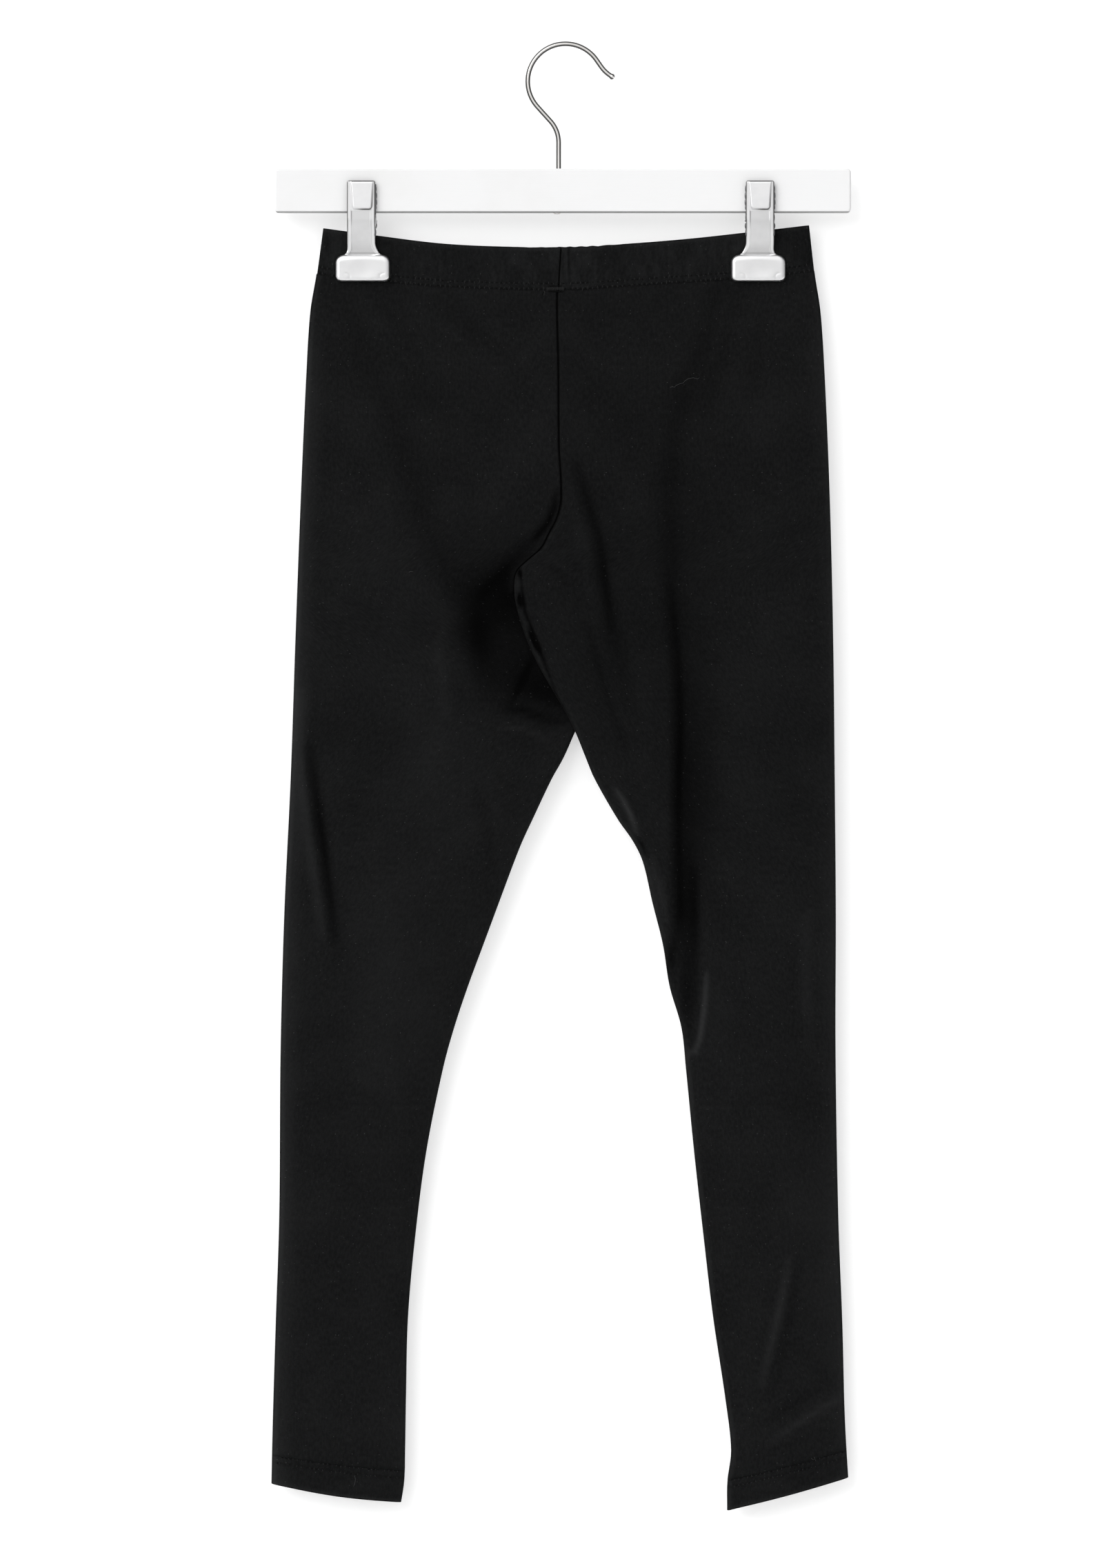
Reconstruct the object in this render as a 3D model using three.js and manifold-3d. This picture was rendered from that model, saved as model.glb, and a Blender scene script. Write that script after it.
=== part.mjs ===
// Black jersey leggings, hanging flat from a white wooden bar hanger with a wire hook and two steel clips.
// Each leg is one cloth panel, wrapped round from the front seam to the back seam and closed by its inseam.
// The two panels, a folded waistband and two turned hems are thin walls with open hollows.
// Millimetres. +Z is up, -Y is the front, and the origin is where a rail carries the hook.
import * as THREE from "three";
import { mergeVertices } from "three/addons/utils/BufferGeometryUtils.js";
import Module from "manifold-3d";

const wasm = await Module();
wasm.setup();

const FRONT = -1;
const BACK = 1;
const LEFT = -1;
const RIGHT = 1;
const QUARTER_TURN = Math.PI / 2;

// The hanger.
const BAR = { centreX: -2, topZ: -89.5, length: 420, height: 32, thickness: 12, corner: 3, bevel: 0.8 };
const HOOK = {
  wireRadius: 1.75,
  bowRadius: 27.5, // from the bow's centre to the middle of the wire
  stemX: -5,
  stemBottomZ: -119,
  stemLean: 42, // degrees from upright where the stem runs into the bow
  stemBend: 23,
  bowEnd: 35, // degrees above level where the bow lets go
  tipStraight: 6,
  tipBend: 25,
  tipTurn: 22,
  tipBall: 2.15,
};
const BORE_CLEARANCE = 0.3;
const CLIPS = { left: { x: -148 }, right: { x: 141.5 } };
const JAW = {
  topZ: -98.5,
  bottomZ: -171.9,
  shankHalf: 10.1,
  padHalf: 19.8,
  sheet: 1.3,
  standoff: 8.6, // from the middle plane to the inside of the shank
  grip: 2.9, // from the middle plane to the inside of the pad
  padDepth: 3.6,
  bendTopZ: -126,
  bendBottomZ: -150,
  flareTopZ: -143,
  flareHalf: 14,
  padTopZ: -152.2,
  padCorner: 5.5,
  padFoot: 3.5,
  bossTopHalf: 8.2,
  bossFootHalf: 6.6,
  bossTopZ: -99.5,
  bossFootZ: -118.6,
  bossRise: 1.1,
};
const PIN = { z: -129, radius: 1.2, half: 10.9, clearance: 0.3 };
const FLANGE = { half: 4.4, past: 3, sheet: 1.0, frontOuter: 10.1, backOuter: 8.7 };
const SADDLE = { half: 6.9, sheet: 0.9, topZ: -103.5, earHalf: 3.2, earFootZ: -132 };
const SEAT_GAP = 0.3; // between pieces that lie on each other

// The cloth. A drop is a height below the waistband's upper corners.
const GARMENT_X = -4; // the centre line
const WAIST_Z = -132;
const CLOTH = 1.2; // the wall of one layer of jersey
const BAND_WALL = 2.2; // the folded waistband with its elastic
const HEM_WALL = 1.8; // the turned hem
const SEAM_GAP = 0.3;
const SEAM_PLAY = 0.25; // added where two pieces with different steps meet along a curve
const CROTCH_DROP = 267; // where the front seam, the back seam and the inseams meet
const LAYER_GAP = 0.6; // half the space between the two legs where one lies on the other

// The outer folds, from the centre line, and half the depth of the worn-open tube.
const SIDES = [
  { drop: 0, left: -172.5, right: 181.5, depth: 6.5 },
  { drop: 35, left: -177.6, right: 185.8, depth: 7.5 },
  { drop: 62, left: -182.0, right: 189.9, depth: 9 },
  { drop: 110, left: -185.0, right: 193.0, depth: 10 },
  { drop: 200, left: -189.0, right: 196.7, depth: 10.5 },
  { drop: 300, left: -192.8, right: 199.1, depth: 10.5 },
  { drop: 400, left: -196.2, right: 200.2, depth: 10 },
  { drop: 500, left: -200.9, right: 201.0, depth: 9 },
  { drop: 600, left: -203.6, right: 200.8, depth: 8.2 },
  { drop: 720, left: -204.6, right: 202.8, depth: 7.4 },
  { drop: 800, left: -207.2, right: 205.8, depth: 7 },
  { drop: 870, left: -209.3, right: 207.7, depth: 6.8 },
  { drop: 935, left: -210.7, right: 211.6, depth: 6.6 },
];

// The seams between the legs down to the crotch, and from there the inner folds of the legs, from the centre line.
// Column right is the front seam and then the right leg's fold; left is the back seam and then the left leg's fold.
const INNER = [
  { drop: 30, right: 0.5, left: 0.5 },
  { drop: 48, right: -2, left: -0.5 },
  { drop: 100, right: -1.2, left: 0 },
  { drop: 160, right: -0.7, left: 0 },
  { drop: 184, right: 0.7, left: 0 },
  { drop: 201, right: 0.8, left: -0.6 },
  { drop: 213, right: -2.4, left: -2.5 },
  { drop: 224, right: -8.2, left: -6 },
  { drop: 234, right: -13.4, left: -11.5 },
  { drop: 242, right: -22.6, left: -18 },
  { drop: 250, right: -30.8, left: -25 },
  { drop: 258, right: -33.1, left: -31 },
  { drop: 267, right: -33.2, left: -33.2 },
  { drop: 275, right: -32, left: -29.5 },
  { drop: 288, right: -28.6, left: -15 },
  { drop: 305, right: -22.4, left: 2.5 },
  { drop: 322, right: -14.2, left: 13.5 },
  { drop: 342, right: -2.6, left: 18.5 },
  { drop: 357, right: 6.0, left: 15.8 },
  { drop: 369, right: 11.7, left: 10.4 },
  { drop: 387, right: 18.9, left: 2.4 },
  { drop: 402, right: 25.2, left: -6.0 },
  { drop: 432, right: 42.4, left: -20.2 },
  { drop: 447, right: 52.9, left: -27.2 },
  { drop: 462, right: 60.2, left: -33.2 },
  { drop: 492, right: 67.3, left: -44.4 },
  { drop: 523, right: 75.0, left: -55.9 },
  { drop: 553, right: 79.8, left: -67.0 },
  { drop: 583, right: 88.4, left: -77.0 },
  { drop: 613, right: 91.7, left: -85.2 },
  { drop: 673, right: 97.6, left: -97.3 },
  { drop: 734, right: 104.4, left: -105.3 },
  { drop: 794, right: 111.5, left: -110.7 },
  { drop: 854, right: 120.5, left: -112.2 },
  { drop: 891, right: 124.6, left: -112.8 },
  { drop: 914, right: 121.9, left: -113.5 },
  { drop: 935, right: 121.7, left: -116.8 },
];

// The waistband's upper edge, from the centre line.
const WAIST_EDGE = [
  { x: -178, drop: 0 },
  { x: -132, drop: 6.3 },
  { x: -84, drop: 12.2 },
  { x: -36, drop: 14.6 },
  { x: 6, drop: 14.8 },
  { x: 42, drop: 12.9 },
  { x: 90, drop: 8.9 },
  { x: 133, drop: 4.2 },
  { x: 187, drop: -2 },
];
const BAND = {
  height: 31,
  extraAtEnds: 3,
  halfAtCentre: 7.6,
  halfAtClip: 2.45,
  halfAtEnd: 2.8,
  flatHalf: 22, // how far each side of a clip's middle the two layers stay pressed together
  opening: 95, // how far from there the band takes to stand fully open
  backSag: 2.5,
};

// The hems: the drop of their upper seam and of their lower edge, at the inner and the outer fold.
const HEMS = {
  left: { innerSeam: 907.5, outerSeam: 895, innerEdge: 929, outerEdge: 915.5, bow: 2.2 },
  right: { innerSeam: 913.5, outerSeam: 891.5, innerEdge: 935, outerEdge: 911, bow: 0.8 },
};

// Cross-sections: the radius of a fold at each edge, and how the tube swells away from it.
const FOLD_RADIUS = 4.5;
const EDGE_DEPTH_SHARE = 0.7;
const SWELL = 45;
const CLIP_RELEASE = 95; // below the band, how far the cloth takes to reach its full depth
const SEAM_CLOSING = 25; // above the crotch, over how much height the front and back seams draw together
const OVERLAP = {
  startDrop: 188, // the right leg begins to lie over the left one at the front, and the left over the right behind
  endDrop: 369,
  releaseDrop: 412,
  coveredDepth: 3,
  passHeight: 8, // below the crotch, how soon one leg is clear of the other
  ramp: 52, // how wide the covered leg's hollow is
  margin: 3,
};

// Soft folds. x is from the centre line at the top, middle and bottom of the fold; a negative height is a trough.
const FOLDS = [
  { leg: RIGHT, side: FRONT, top: 170, bottom: 606, xTop: 82, xMid: 86, xBottom: 97, width: 11, height: -3.2 },
  { leg: RIGHT, side: FRONT, top: 470, bottom: 612, xTop: 108, xMid: 105, xBottom: 99, width: 7, height: 1.4 },
  { leg: RIGHT, side: FRONT, top: 180, bottom: 370, xTop: 15, xMid: 36, xBottom: 55, width: 7, height: -1.8 },
  { leg: RIGHT, side: FRONT, top: 205, bottom: 420, xTop: 4, xMid: 0, xBottom: 40, width: 16, height: 2.2 },
  { leg: RIGHT, side: FRONT, top: 640, bottom: 850, xTop: 172, xMid: 158, xBottom: 145, width: 12, height: 1.2 },
  { leg: LEFT, side: FRONT, top: 350, bottom: 545, xTop: -188, xMid: -174, xBottom: -160, width: 8, height: -2.0 },
  { leg: LEFT, side: FRONT, top: 380, bottom: 640, xTop: -104, xMid: -118, xBottom: -132, width: 24, height: 1.6 },
  { leg: LEFT, side: FRONT, top: 40, bottom: 150, xTop: -126, xMid: -108, xBottom: -88, width: 13, height: -1.2 },
  { leg: RIGHT, side: FRONT, top: 40, bottom: 160, xTop: 128, xMid: 114, xBottom: 96, width: 13, height: -1.2 },
  { leg: LEFT, side: BACK, top: 175, bottom: 590, xTop: -92, xMid: -98, xBottom: -108, width: 12, height: -2.8 },
  { leg: LEFT, side: BACK, top: 205, bottom: 420, xTop: -20, xMid: -10, xBottom: -30, width: 16, height: 2.0 },
  { leg: LEFT, side: BACK, top: 600, bottom: 830, xTop: -172, xMid: -160, xBottom: -150, width: 13, height: 1.2 },
  { leg: RIGHT, side: BACK, top: 330, bottom: 560, xTop: 186, xMid: 172, xBottom: 158, width: 9, height: -2.0 },
  { leg: RIGHT, side: BACK, top: 420, bottom: 660, xTop: 118, xMid: 128, xBottom: 140, width: 22, height: 1.5 },
  { leg: RIGHT, side: BACK, top: 45, bottom: 165, xTop: 124, xMid: 106, xBottom: 90, width: 14, height: -1.2 },
];

// How finely the cloth is divided across one side of a leg and across one quarter of the waistband.
// Down a leg there is a line of points at each drop of the table of inner edges.
const LEG_STEPS = { edge: 3, flat: 12 };
const BAND_STEPS = { edge: 3, flat: 12 };
const BAND_ROWS = 3;
const HEM_ROWS = 2;

const JERSEY = new THREE.MeshStandardMaterial({ name: "jersey", color: 0x19191b, roughness: 0.9, metalness: 0 });
const PAINT = new THREE.MeshStandardMaterial({ name: "white paint", color: 0xf3f3f3, roughness: 0.45, metalness: 0 });
const WIRE = new THREE.MeshStandardMaterial({ name: "bright wire", color: 0xa9a6a2, roughness: 0.25, metalness: 1 });
const SATIN = new THREE.MeshStandardMaterial({ name: "satin nickel", color: 0xd6d6d8, roughness: 0.35, metalness: 1 });

const clamp = THREE.MathUtils.clamp;
const lerp = THREE.MathUtils.lerp;
const radians = THREE.MathUtils.degToRad;

const smooth = (t) => THREE.MathUtils.smoothstep(t, 0, 1);

// The rise of a round edge: 0 at the edge, 1 from one radius inwards.
function dome(t) {
  return Math.sqrt(1 - (1 - clamp(t, 0, 1)) ** 2);
}

// One column of a table at a place along another, on a smooth curve through the rows.
function along(table, key, column, place) {
  const last = table.length - 1;
  let i = 0;
  while (i < last - 1 && place > table[i + 1][key]) i++;
  const slope = (k) => {
    const a = table[Math.max(k - 1, 0)];
    const b = table[Math.min(k + 1, last)];
    return (b[column] - a[column]) / (b[key] - a[key]);
  };
  const span = table[i + 1][key] - table[i][key];
  const t = clamp((place - table[i][key]) / span, 0, 1);
  const rise = table[i + 1][column] - table[i][column];
  const start = slope(i) * span;
  const end = slope(i + 1) * span;
  return table[i][column] + start * t + (3 * rise - 2 * start - end) * t * t + (start + end - 2 * rise) * t ** 3;
}

const outerFold = (leg, drop) => along(SIDES, "drop", leg === LEFT ? "left" : "right", drop);
const fullDepth = (drop) => along(SIDES, "drop", "depth", drop);
const rightEdge = (drop) => along(INNER, "drop", "right", drop);
const leftEdge = (drop) => along(INNER, "drop", "left", drop);

// Where a panel's wall ends on the inner side: at its seam above the crotch, and at the leg's own fold below it.
function innerEdge(leg, side, drop) {
  const onFront = drop < CROTCH_DROP ? side === FRONT : leg === RIGHT;
  const edge = onFront ? rightEdge : leftEdge;
  const slope = (edge(drop + 1) - edge(drop - 1)) / 2;
  return edge(drop) + ((leg * SEAM_GAP) / 2) * Math.min(Math.hypot(1, slope), 2);
}

// Half the depth of the waistband: pressed flat by the clips, open between them, a small loop beyond them.
function bandHalf(x) {
  const clipX = (x < 0 ? CLIPS.left.x : CLIPS.right.x) - GARMENT_X;
  const inwards = (clipX - x) * Math.sign(clipX) - BAND.flatHalf;
  const outwards = (x - clipX) * Math.sign(clipX) - BAND.flatHalf;
  return (
    BAND.halfAtClip +
    (BAND.halfAtCentre - BAND.halfAtClip) * smooth(inwards / BAND.opening) +
    (BAND.halfAtEnd - BAND.halfAtClip) * smooth(outwards / 8)
  );
}

// At a drop, how strongly the covered leg gives way, and how far one leg has passed in front of the other.
function overlapAt(drop) {
  const release = 1 - smooth((drop - OVERLAP.endDrop) / (OVERLAP.releaseDrop - OVERLAP.endDrop));
  const start = smooth((drop - OVERLAP.startDrop) / (CROTCH_DROP - OVERLAP.startDrop));
  return { share: Math.min(start, release), passed: Math.min(dome((drop - CROTCH_DROP) / OVERLAP.passHeight), release) };
}

// How far a covered wall stands from the middle plane, on its own side of it.
function coveredDepth(drop) {
  const { share, passed } = overlapAt(drop);
  const beside = lerp(fullDepth(drop), OVERLAP.coveredDepth, share);
  return lerp(beside, -LAYER_GAP, passed);
}

// The sum of the soft folds at a place on one side of a leg.
function foldHeight(leg, side, x, drop) {
  let height = 0;
  for (const fold of FOLDS) {
    if (fold.leg !== leg || fold.side !== side) continue;
    const t = (drop - fold.top) / (fold.bottom - fold.top);
    if (t <= 0 || t >= 1) continue;
    const middle = fold.xTop * (1 - t) * (1 - 2 * t) + 4 * fold.xMid * t * (1 - t) + fold.xBottom * t * (2 * t - 1);
    const fade = Math.sin(Math.PI * t) ** 0.8;
    height += fold.height * fade * Math.exp(-(((x - middle) / fold.width) ** 2));
  }
  return height;
}

// The height of a point of the cloth: waistEdge, bandSeam, hemSeam and hemEdge are the lines across it.
const waistEdgeDrop = (side, x) =>
  along(WAIST_EDGE, "x", "drop", x) + (side === BACK ? BAND.backSag * smooth((110 - Math.abs(x)) / 110) : 0);
const bandSeamDrop = (side, x) =>
  waistEdgeDrop(side, x) + BAND.height + BAND.extraAtEnds * smooth((Math.abs(x) - 60) / 110);

function hemDrop(leg, line, across) {
  const hem = leg === LEFT ? HEMS.left : HEMS.right;
  return lerp(hem["inner" + line], hem["outer" + line], across) + hem.bow * Math.sin(Math.PI * across);
}

// How far from the inner edge a place is across one side, for a share from 0 to 1. The steps are close at both ends.
function acrossWidth(share, width, steps) {
  const edgeShare = steps.edge / (2 * steps.edge + steps.flat);
  const rounded = (t) => FOLD_RADIUS * (1 - Math.cos((t / edgeShare) * QUARTER_TURN));
  if (share < edgeShare) return rounded(share);
  if (share > 1 - edgeShare) return width - rounded(1 - share);
  return lerp(FOLD_RADIUS, width - FOLD_RADIUS, (share - edgeShare) / (1 - 2 * edgeShare));
}

// A point on the outside of a leg. around is 0 at the front seam, 0.5 at the outer fold and 1 at the back seam.
function legPoint(leg, around, drop) {
  const side = around <= 0.5 ? FRONT : BACK;
  const inner = innerEdge(leg, side, drop);
  const width = Math.abs(outerFold(leg, drop) - inner);
  const fromInner = acrossWidth(1 - Math.abs(2 * around - 1), width, LEG_STEPS);
  const fromOuter = width - fromInner;
  const x = inner + leg * fromInner;

  // The open tube, swelling away from its folds and still pressed together below the clips.
  const legShare = smooth((drop - OVERLAP.startDrop) / 80);
  const swellOuter = lerp(EDGE_DEPTH_SHARE, 1, smooth(fromOuter / SWELL));
  const swellInner = lerp(1, lerp(EDGE_DEPTH_SHARE, 1, smooth(fromInner / SWELL)), legShare);
  const released = smooth((drop - bandSeamDrop(side, x)) / CLIP_RELEASE);
  let depth = lerp(bandHalf(x) - SEAM_GAP, fullDepth(drop) * swellOuter * swellInner, released);
  depth += foldHeight(leg, side, x, drop) * Math.min(1, fromOuter / 12);

  // The wall that the other leg covers lies back behind it.
  const covered = coveredDepth(drop);
  const { share, passed } = overlapAt(drop);
  const isCovered = leg === LEFT ? side === FRONT : side === BACK;
  if (isCovered) {
    const cover = leg === LEFT ? rightEdge(drop) - x : x - leftEdge(drop);
    depth = lerp(depth, covered, share * (1 - smooth((cover - OVERLAP.margin) / OVERLAP.ramp)));
  }

  // The walls come together at the outer fold, and at the inner edge from the crotch down.
  const closing = clamp((drop - (CROTCH_DROP - SEAM_CLOSING)) / SEAM_CLOSING, 0, 1);
  const seamDepth = side * Math.min(depth, covered) * Math.sqrt(1 - closing ** 2);
  const tip = -leg * ((fullDepth(drop) * EDGE_DEPTH_SHARE) / 2 + LAYER_GAP) * passed;
  const atEdge = drop < CROTCH_DROP ? seamDepth : tip;
  const plain = side * depth * dome(fromOuter / FOLD_RADIUS);
  const y = lerp(atEdge, plain, dome(fromInner / FOLD_RADIUS));
  return new THREE.Vector3(GARMENT_X + x, y, WAIST_Z - drop);
}

// A point on the outside of one half of the waistband. around is 0 at the middle of the front.
function bandPoint(leg, around, down) {
  const side = around <= 0.5 ? FRONT : BACK;
  const width = Math.abs(outerFold(leg, down * BAND.height));
  const fromMiddle = acrossWidth(1 - Math.abs(2 * around - 1), width, BAND_STEPS);
  const x = leg * fromMiddle;
  const y = side * bandHalf(x) * dome((width - fromMiddle) / BAND.halfAtEnd);
  const drop = lerp(waistEdgeDrop(side, x), bandSeamDrop(side, x) - SEAM_GAP, down);
  return new THREE.Vector3(GARMENT_X + x, y, WAIST_Z - drop);
}

// A closed mesh from a list of points and a list of faces, each with three or four corners.
function closedMesh(name, points, faces, material) {
  const triangles = faces.flatMap(([a, b, c, d]) => (d === undefined ? [a, b, c] : [a, b, c, a, c, d]));
  const geometry = new THREE.BufferGeometry();
  geometry.setAttribute("position", new THREE.Float32BufferAttribute(points.flatMap((p) => p.toArray()), 3));
  geometry.setIndex(triangles);
  return namedMesh(name, geometry, material);
}

function namedMesh(name, geometry, material) {
  geometry.computeVertexNormals();
  const mesh = new THREE.Mesh(geometry, material.clone());
  mesh.name = name;
  return mesh;
}

// A cloth wall under a grid of points on its outside, one list of points for each row from the top down.
// A row is a ring from closedFrom on. Above that its first and last points are the two edges of a seam.
function clothWall(name, rows, wall, closedFrom) {
  const lastRow = rows.length - 1;
  const lastColumn = rows[0].length - 1;
  const isRing = (r) => r >= closedFrom;
  const at = (r, c) => {
    const row = clamp(r, 0, lastRow);
    if (isRing(row)) return rows[row][(c + lastColumn) % lastColumn];
    return rows[row][clamp(c, 0, lastColumn)];
  };
  const points = [];
  const indexOf = new Map();
  for (let r = 0; r <= lastRow; r++) {
    for (let c = 0; c <= lastColumn - (isRing(r) ? 1 : 0); c++) {
      const acrossStep = at(r, c + 1).clone().sub(at(r, c - 1));
      const downStep = at(r + 1, c).clone().sub(at(r - 1, c));
      const outward = acrossStep.cross(downStep).normalize();
      indexOf.set(r + ":" + c, points.length);
      points.push(at(r, c).clone(), at(r, c).clone().addScaledVector(outward, -wall));
    }
  }
  const outside = (r, c) => indexOf.get(r + ":" + (isRing(r) ? c % lastColumn : c));
  const inside = (r, c) => outside(r, c) + 1;
  const faces = [];
  for (let r = 0; r < lastRow; r++) {
    for (let c = 0; c < lastColumn; c++) {
      faces.push([outside(r, c), outside(r, c + 1), outside(r + 1, c + 1), outside(r + 1, c)]);
      faces.push([inside(r, c), inside(r + 1, c), inside(r + 1, c + 1), inside(r, c + 1)]);
    }
    if (isRing(r)) continue;
    faces.push([outside(r, 0), outside(r + 1, 0), inside(r + 1, 0), inside(r, 0)]);
    const end = lastColumn;
    faces.push([outside(r + 1, end), outside(r, end), inside(r, end), inside(r + 1, end)]);
  }
  for (let c = 0; c < lastColumn; c++) {
    faces.push([outside(0, c + 1), outside(0, c), inside(0, c), inside(0, c + 1)]);
    faces.push([outside(lastRow, c), outside(lastRow, c + 1), inside(lastRow, c + 1), inside(lastRow, c)]);
  }
  return closedMesh(name, points, faces, JERSEY);
}

// Places round a panel, in the order that turns its outside outwards.
function placesRound(leg, steps) {
  const count = 2 * (2 * steps.edge + steps.flat);
  const places = Array.from({ length: count + 1 }, (_, i) => i / count);
  return leg === LEFT ? places : places.reverse();
}

function legPanel(name, leg) {
  const places = placesRound(leg, LEG_STEPS);
  const seamTop = BAND.height + along(WAIST_EDGE, "x", "drop", 0);
  const hemSeam = hemDrop(leg, "Seam", 0);
  const acrossAt = (around, drop) => {
    const side = around <= 0.5 ? FRONT : BACK;
    const width = Math.abs(outerFold(leg, drop) - innerEdge(leg, side, drop));
    return { side, width, from: acrossWidth(1 - Math.abs(2 * around - 1), width, LEG_STEPS) };
  };
  const rows = [];
  for (const { drop: line } of [{ drop: seamTop }, ...INNER, { drop: hemSeam }]) {
    if (line < seamTop || line > hemSeam || (line > seamTop && line < seamTop + 4)) continue;
    rows.push(
      places.map((around) => {
        const { side, width, from } = acrossAt(around, line);
        if (line <= CROTCH_DROP) {
          const top = bandSeamDrop(side, innerEdge(leg, side, line) + leg * from) + SEAM_PLAY;
          return legPoint(leg, around, lerp(top, CROTCH_DROP, (line - seamTop) / (CROTCH_DROP - seamTop)));
        }
        const foot = hemDrop(leg, "Seam", from / width);
        return legPoint(leg, around, lerp(CROTCH_DROP, foot, (line - CROTCH_DROP) / (hemSeam - CROTCH_DROP)));
      }),
    );
    rows[rows.length - 1].line = line;
  }
  return clothWall(name, rows, CLOTH, rows.findIndex((row) => row.line === CROTCH_DROP));
}

function hemRing(name, leg) {
  const places = placesRound(leg, LEG_STEPS);
  const rows = [];
  for (let r = 0; r <= HEM_ROWS; r++) {
    rows.push(
      places.map((around) => {
        const across = acrossWidth(1 - Math.abs(2 * around - 1), 90, LEG_STEPS) / 90;
        const top = hemDrop(leg, "Seam", across) + SEAM_GAP + SEAM_PLAY;
        return legPoint(leg, around, lerp(top, hemDrop(leg, "Edge", across), r / HEM_ROWS));
      }),
    );
  }
  return clothWall(name, rows, HEM_WALL, 0);
}

function waistband(name) {
  const leftHalf = placesRound(LEFT, BAND_STEPS);
  const rightHalf = placesRound(RIGHT, BAND_STEPS).slice(1);
  const rows = [];
  for (let r = 0; r <= BAND_ROWS; r++) {
    const down = r / BAND_ROWS;
    rows.push([
      ...leftHalf.map((around) => bandPoint(LEFT, around, down)),
      ...rightHalf.map((around) => bandPoint(RIGHT, around, down)),
    ]);
  }
  return clothWall(name, rows, BAND_WALL, 0);
}

// A round wire through a list of places in the plane of the hanger, each with its heading and its radius.
function wireAlong(name, stations, sides, material) {
  const points = [];
  for (const { x, z, heading, radius } of stations) {
    const across = new THREE.Vector3(-Math.sin(heading), 0, Math.cos(heading));
    for (let k = 0; k < sides; k++) {
      const turn = (k / sides) * 2 * Math.PI;
      const point = new THREE.Vector3(x, radius * Math.sin(turn), z);
      points.push(point.addScaledVector(across, radius * Math.cos(turn)));
    }
  }
  const faces = [];
  const last = stations.length - 1;
  for (let s = 0; s < last; s++) {
    for (let k = 0; k < sides; k++) {
      const next = (k + 1) % sides;
      faces.push([s * sides + k, (s + 1) * sides + k, (s + 1) * sides + next, s * sides + next]);
    }
  }
  for (const end of [0, last]) {
    const middle = points.length;
    points.push(new THREE.Vector3(stations[end].x, 0, stations[end].z));
    for (let k = 0; k < sides; k++) {
      const pair = [end * sides + k, end * sides + ((k + 1) % sides)];
      faces.push(end === 0 ? [middle, ...pair] : [middle, pair[1], pair[0]]);
    }
  }
  return closedMesh(name, points, faces, material);
}

// The hook's middle line, from the foot of its stem over the bow to its tip.
function hookStations() {
  const r = HOOK.wireRadius;
  const lean = radians(HOOK.stemLean);
  const bowZ = r - HOOK.bowRadius;
  const bowFootX = -HOOK.bowRadius * Math.cos(lean);
  const slope = (Math.abs(bowFootX - HOOK.stemX) - HOOK.stemBend * (1 - Math.cos(lean))) / Math.sin(lean);
  const bendZ = bowZ - HOOK.bowRadius * Math.sin(lean) - slope * Math.cos(lean) - HOOK.stemBend * Math.sin(lean);
  const stations = [];
  const pen = { x: HOOK.stemX, z: HOOK.stemBottomZ, heading: QUARTER_TURN };
  const mark = (radius = r) => stations.push({ ...pen, radius });
  const straight = (length) => {
    pen.x += length * Math.cos(pen.heading);
    pen.z += length * Math.sin(pen.heading);
    mark();
  };
  const bend = (radius, turn, steps) => {
    const chord = 2 * radius * Math.sin(Math.abs(turn) / steps / 2);
    for (let k = 0; k < steps; k++) {
      pen.heading += turn / steps / 2;
      pen.x += chord * Math.cos(pen.heading);
      pen.z += chord * Math.sin(pen.heading);
      pen.heading += turn / steps / 2;
      mark();
    }
  };
  mark();
  straight(bendZ - HOOK.stemBottomZ);
  bend(HOOK.stemBend, lean, 6);
  straight(slope);
  bend(HOOK.bowRadius, -(lean + Math.PI - radians(HOOK.bowEnd)), 30);
  straight(HOOK.tipStraight);
  bend(HOOK.tipBend, radians(HOOK.tipTurn), 4);
  const ball = [0.2, 0.6, 1.2, 1.8, 2.4, 2.9, 3.2];
  const swell = [HOOK.wireRadius + 0.05, HOOK.tipBall - 0.1, HOOK.tipBall, HOOK.tipBall, 1.9, 1.3, 0.5];
  const start = { ...pen };
  ball.forEach((distance, k) => {
    pen.x = start.x + distance * Math.cos(pen.heading);
    pen.z = start.z + distance * Math.sin(pen.heading);
    mark(swell[k]);
  });
  return stations;
}

// Solids for cutting and joining.
function solidOf(geometry) {
  const plain = geometry.index ? geometry.toNonIndexed() : geometry.clone();
  plain.deleteAttribute("normal");
  plain.deleteAttribute("uv");
  const merged = mergeVertices(plain, 1e-4);
  return new wasm.Manifold(
    new wasm.Mesh({
      numProp: 3,
      vertProperties: new Float32Array(merged.attributes.position.array),
      triVerts: new Uint32Array(merged.index.array),
    }),
  );
}

function meshOf(name, solid, material) {
  const data = solid.getMesh();
  const geometry = new THREE.BufferGeometry();
  geometry.setAttribute("position", new THREE.BufferAttribute(new Float32Array(data.vertProperties), 3));
  geometry.setIndex(new THREE.BufferAttribute(new Uint32Array(data.triVerts), 1));
  return namedMesh(name, geometry, material);
}

// A rod between two heights or along X.
function rod(radius, length, sides, { x = 0, y = 0, z = 0 }, alongX = false) {
  const geometry = new THREE.CylinderGeometry(radius, radius, length, sides);
  if (alongX) geometry.rotateZ(QUARTER_TURN);
  else geometry.rotateX(QUARTER_TURN);
  geometry.translate(x, y, z);
  return solidOf(geometry);
}

// An outline in the plane of the hanger, as thick as asked, from y = fromY on.
function plateXZ(shape, fromY, thickness, curveSegments = 6) {
  const geometry = new THREE.ExtrudeGeometry(shape, { depth: thickness, bevelEnabled: false, curveSegments });
  geometry.rotateX(QUARTER_TURN);
  geometry.translate(0, fromY + thickness, 0);
  return solidOf(geometry);
}

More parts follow.
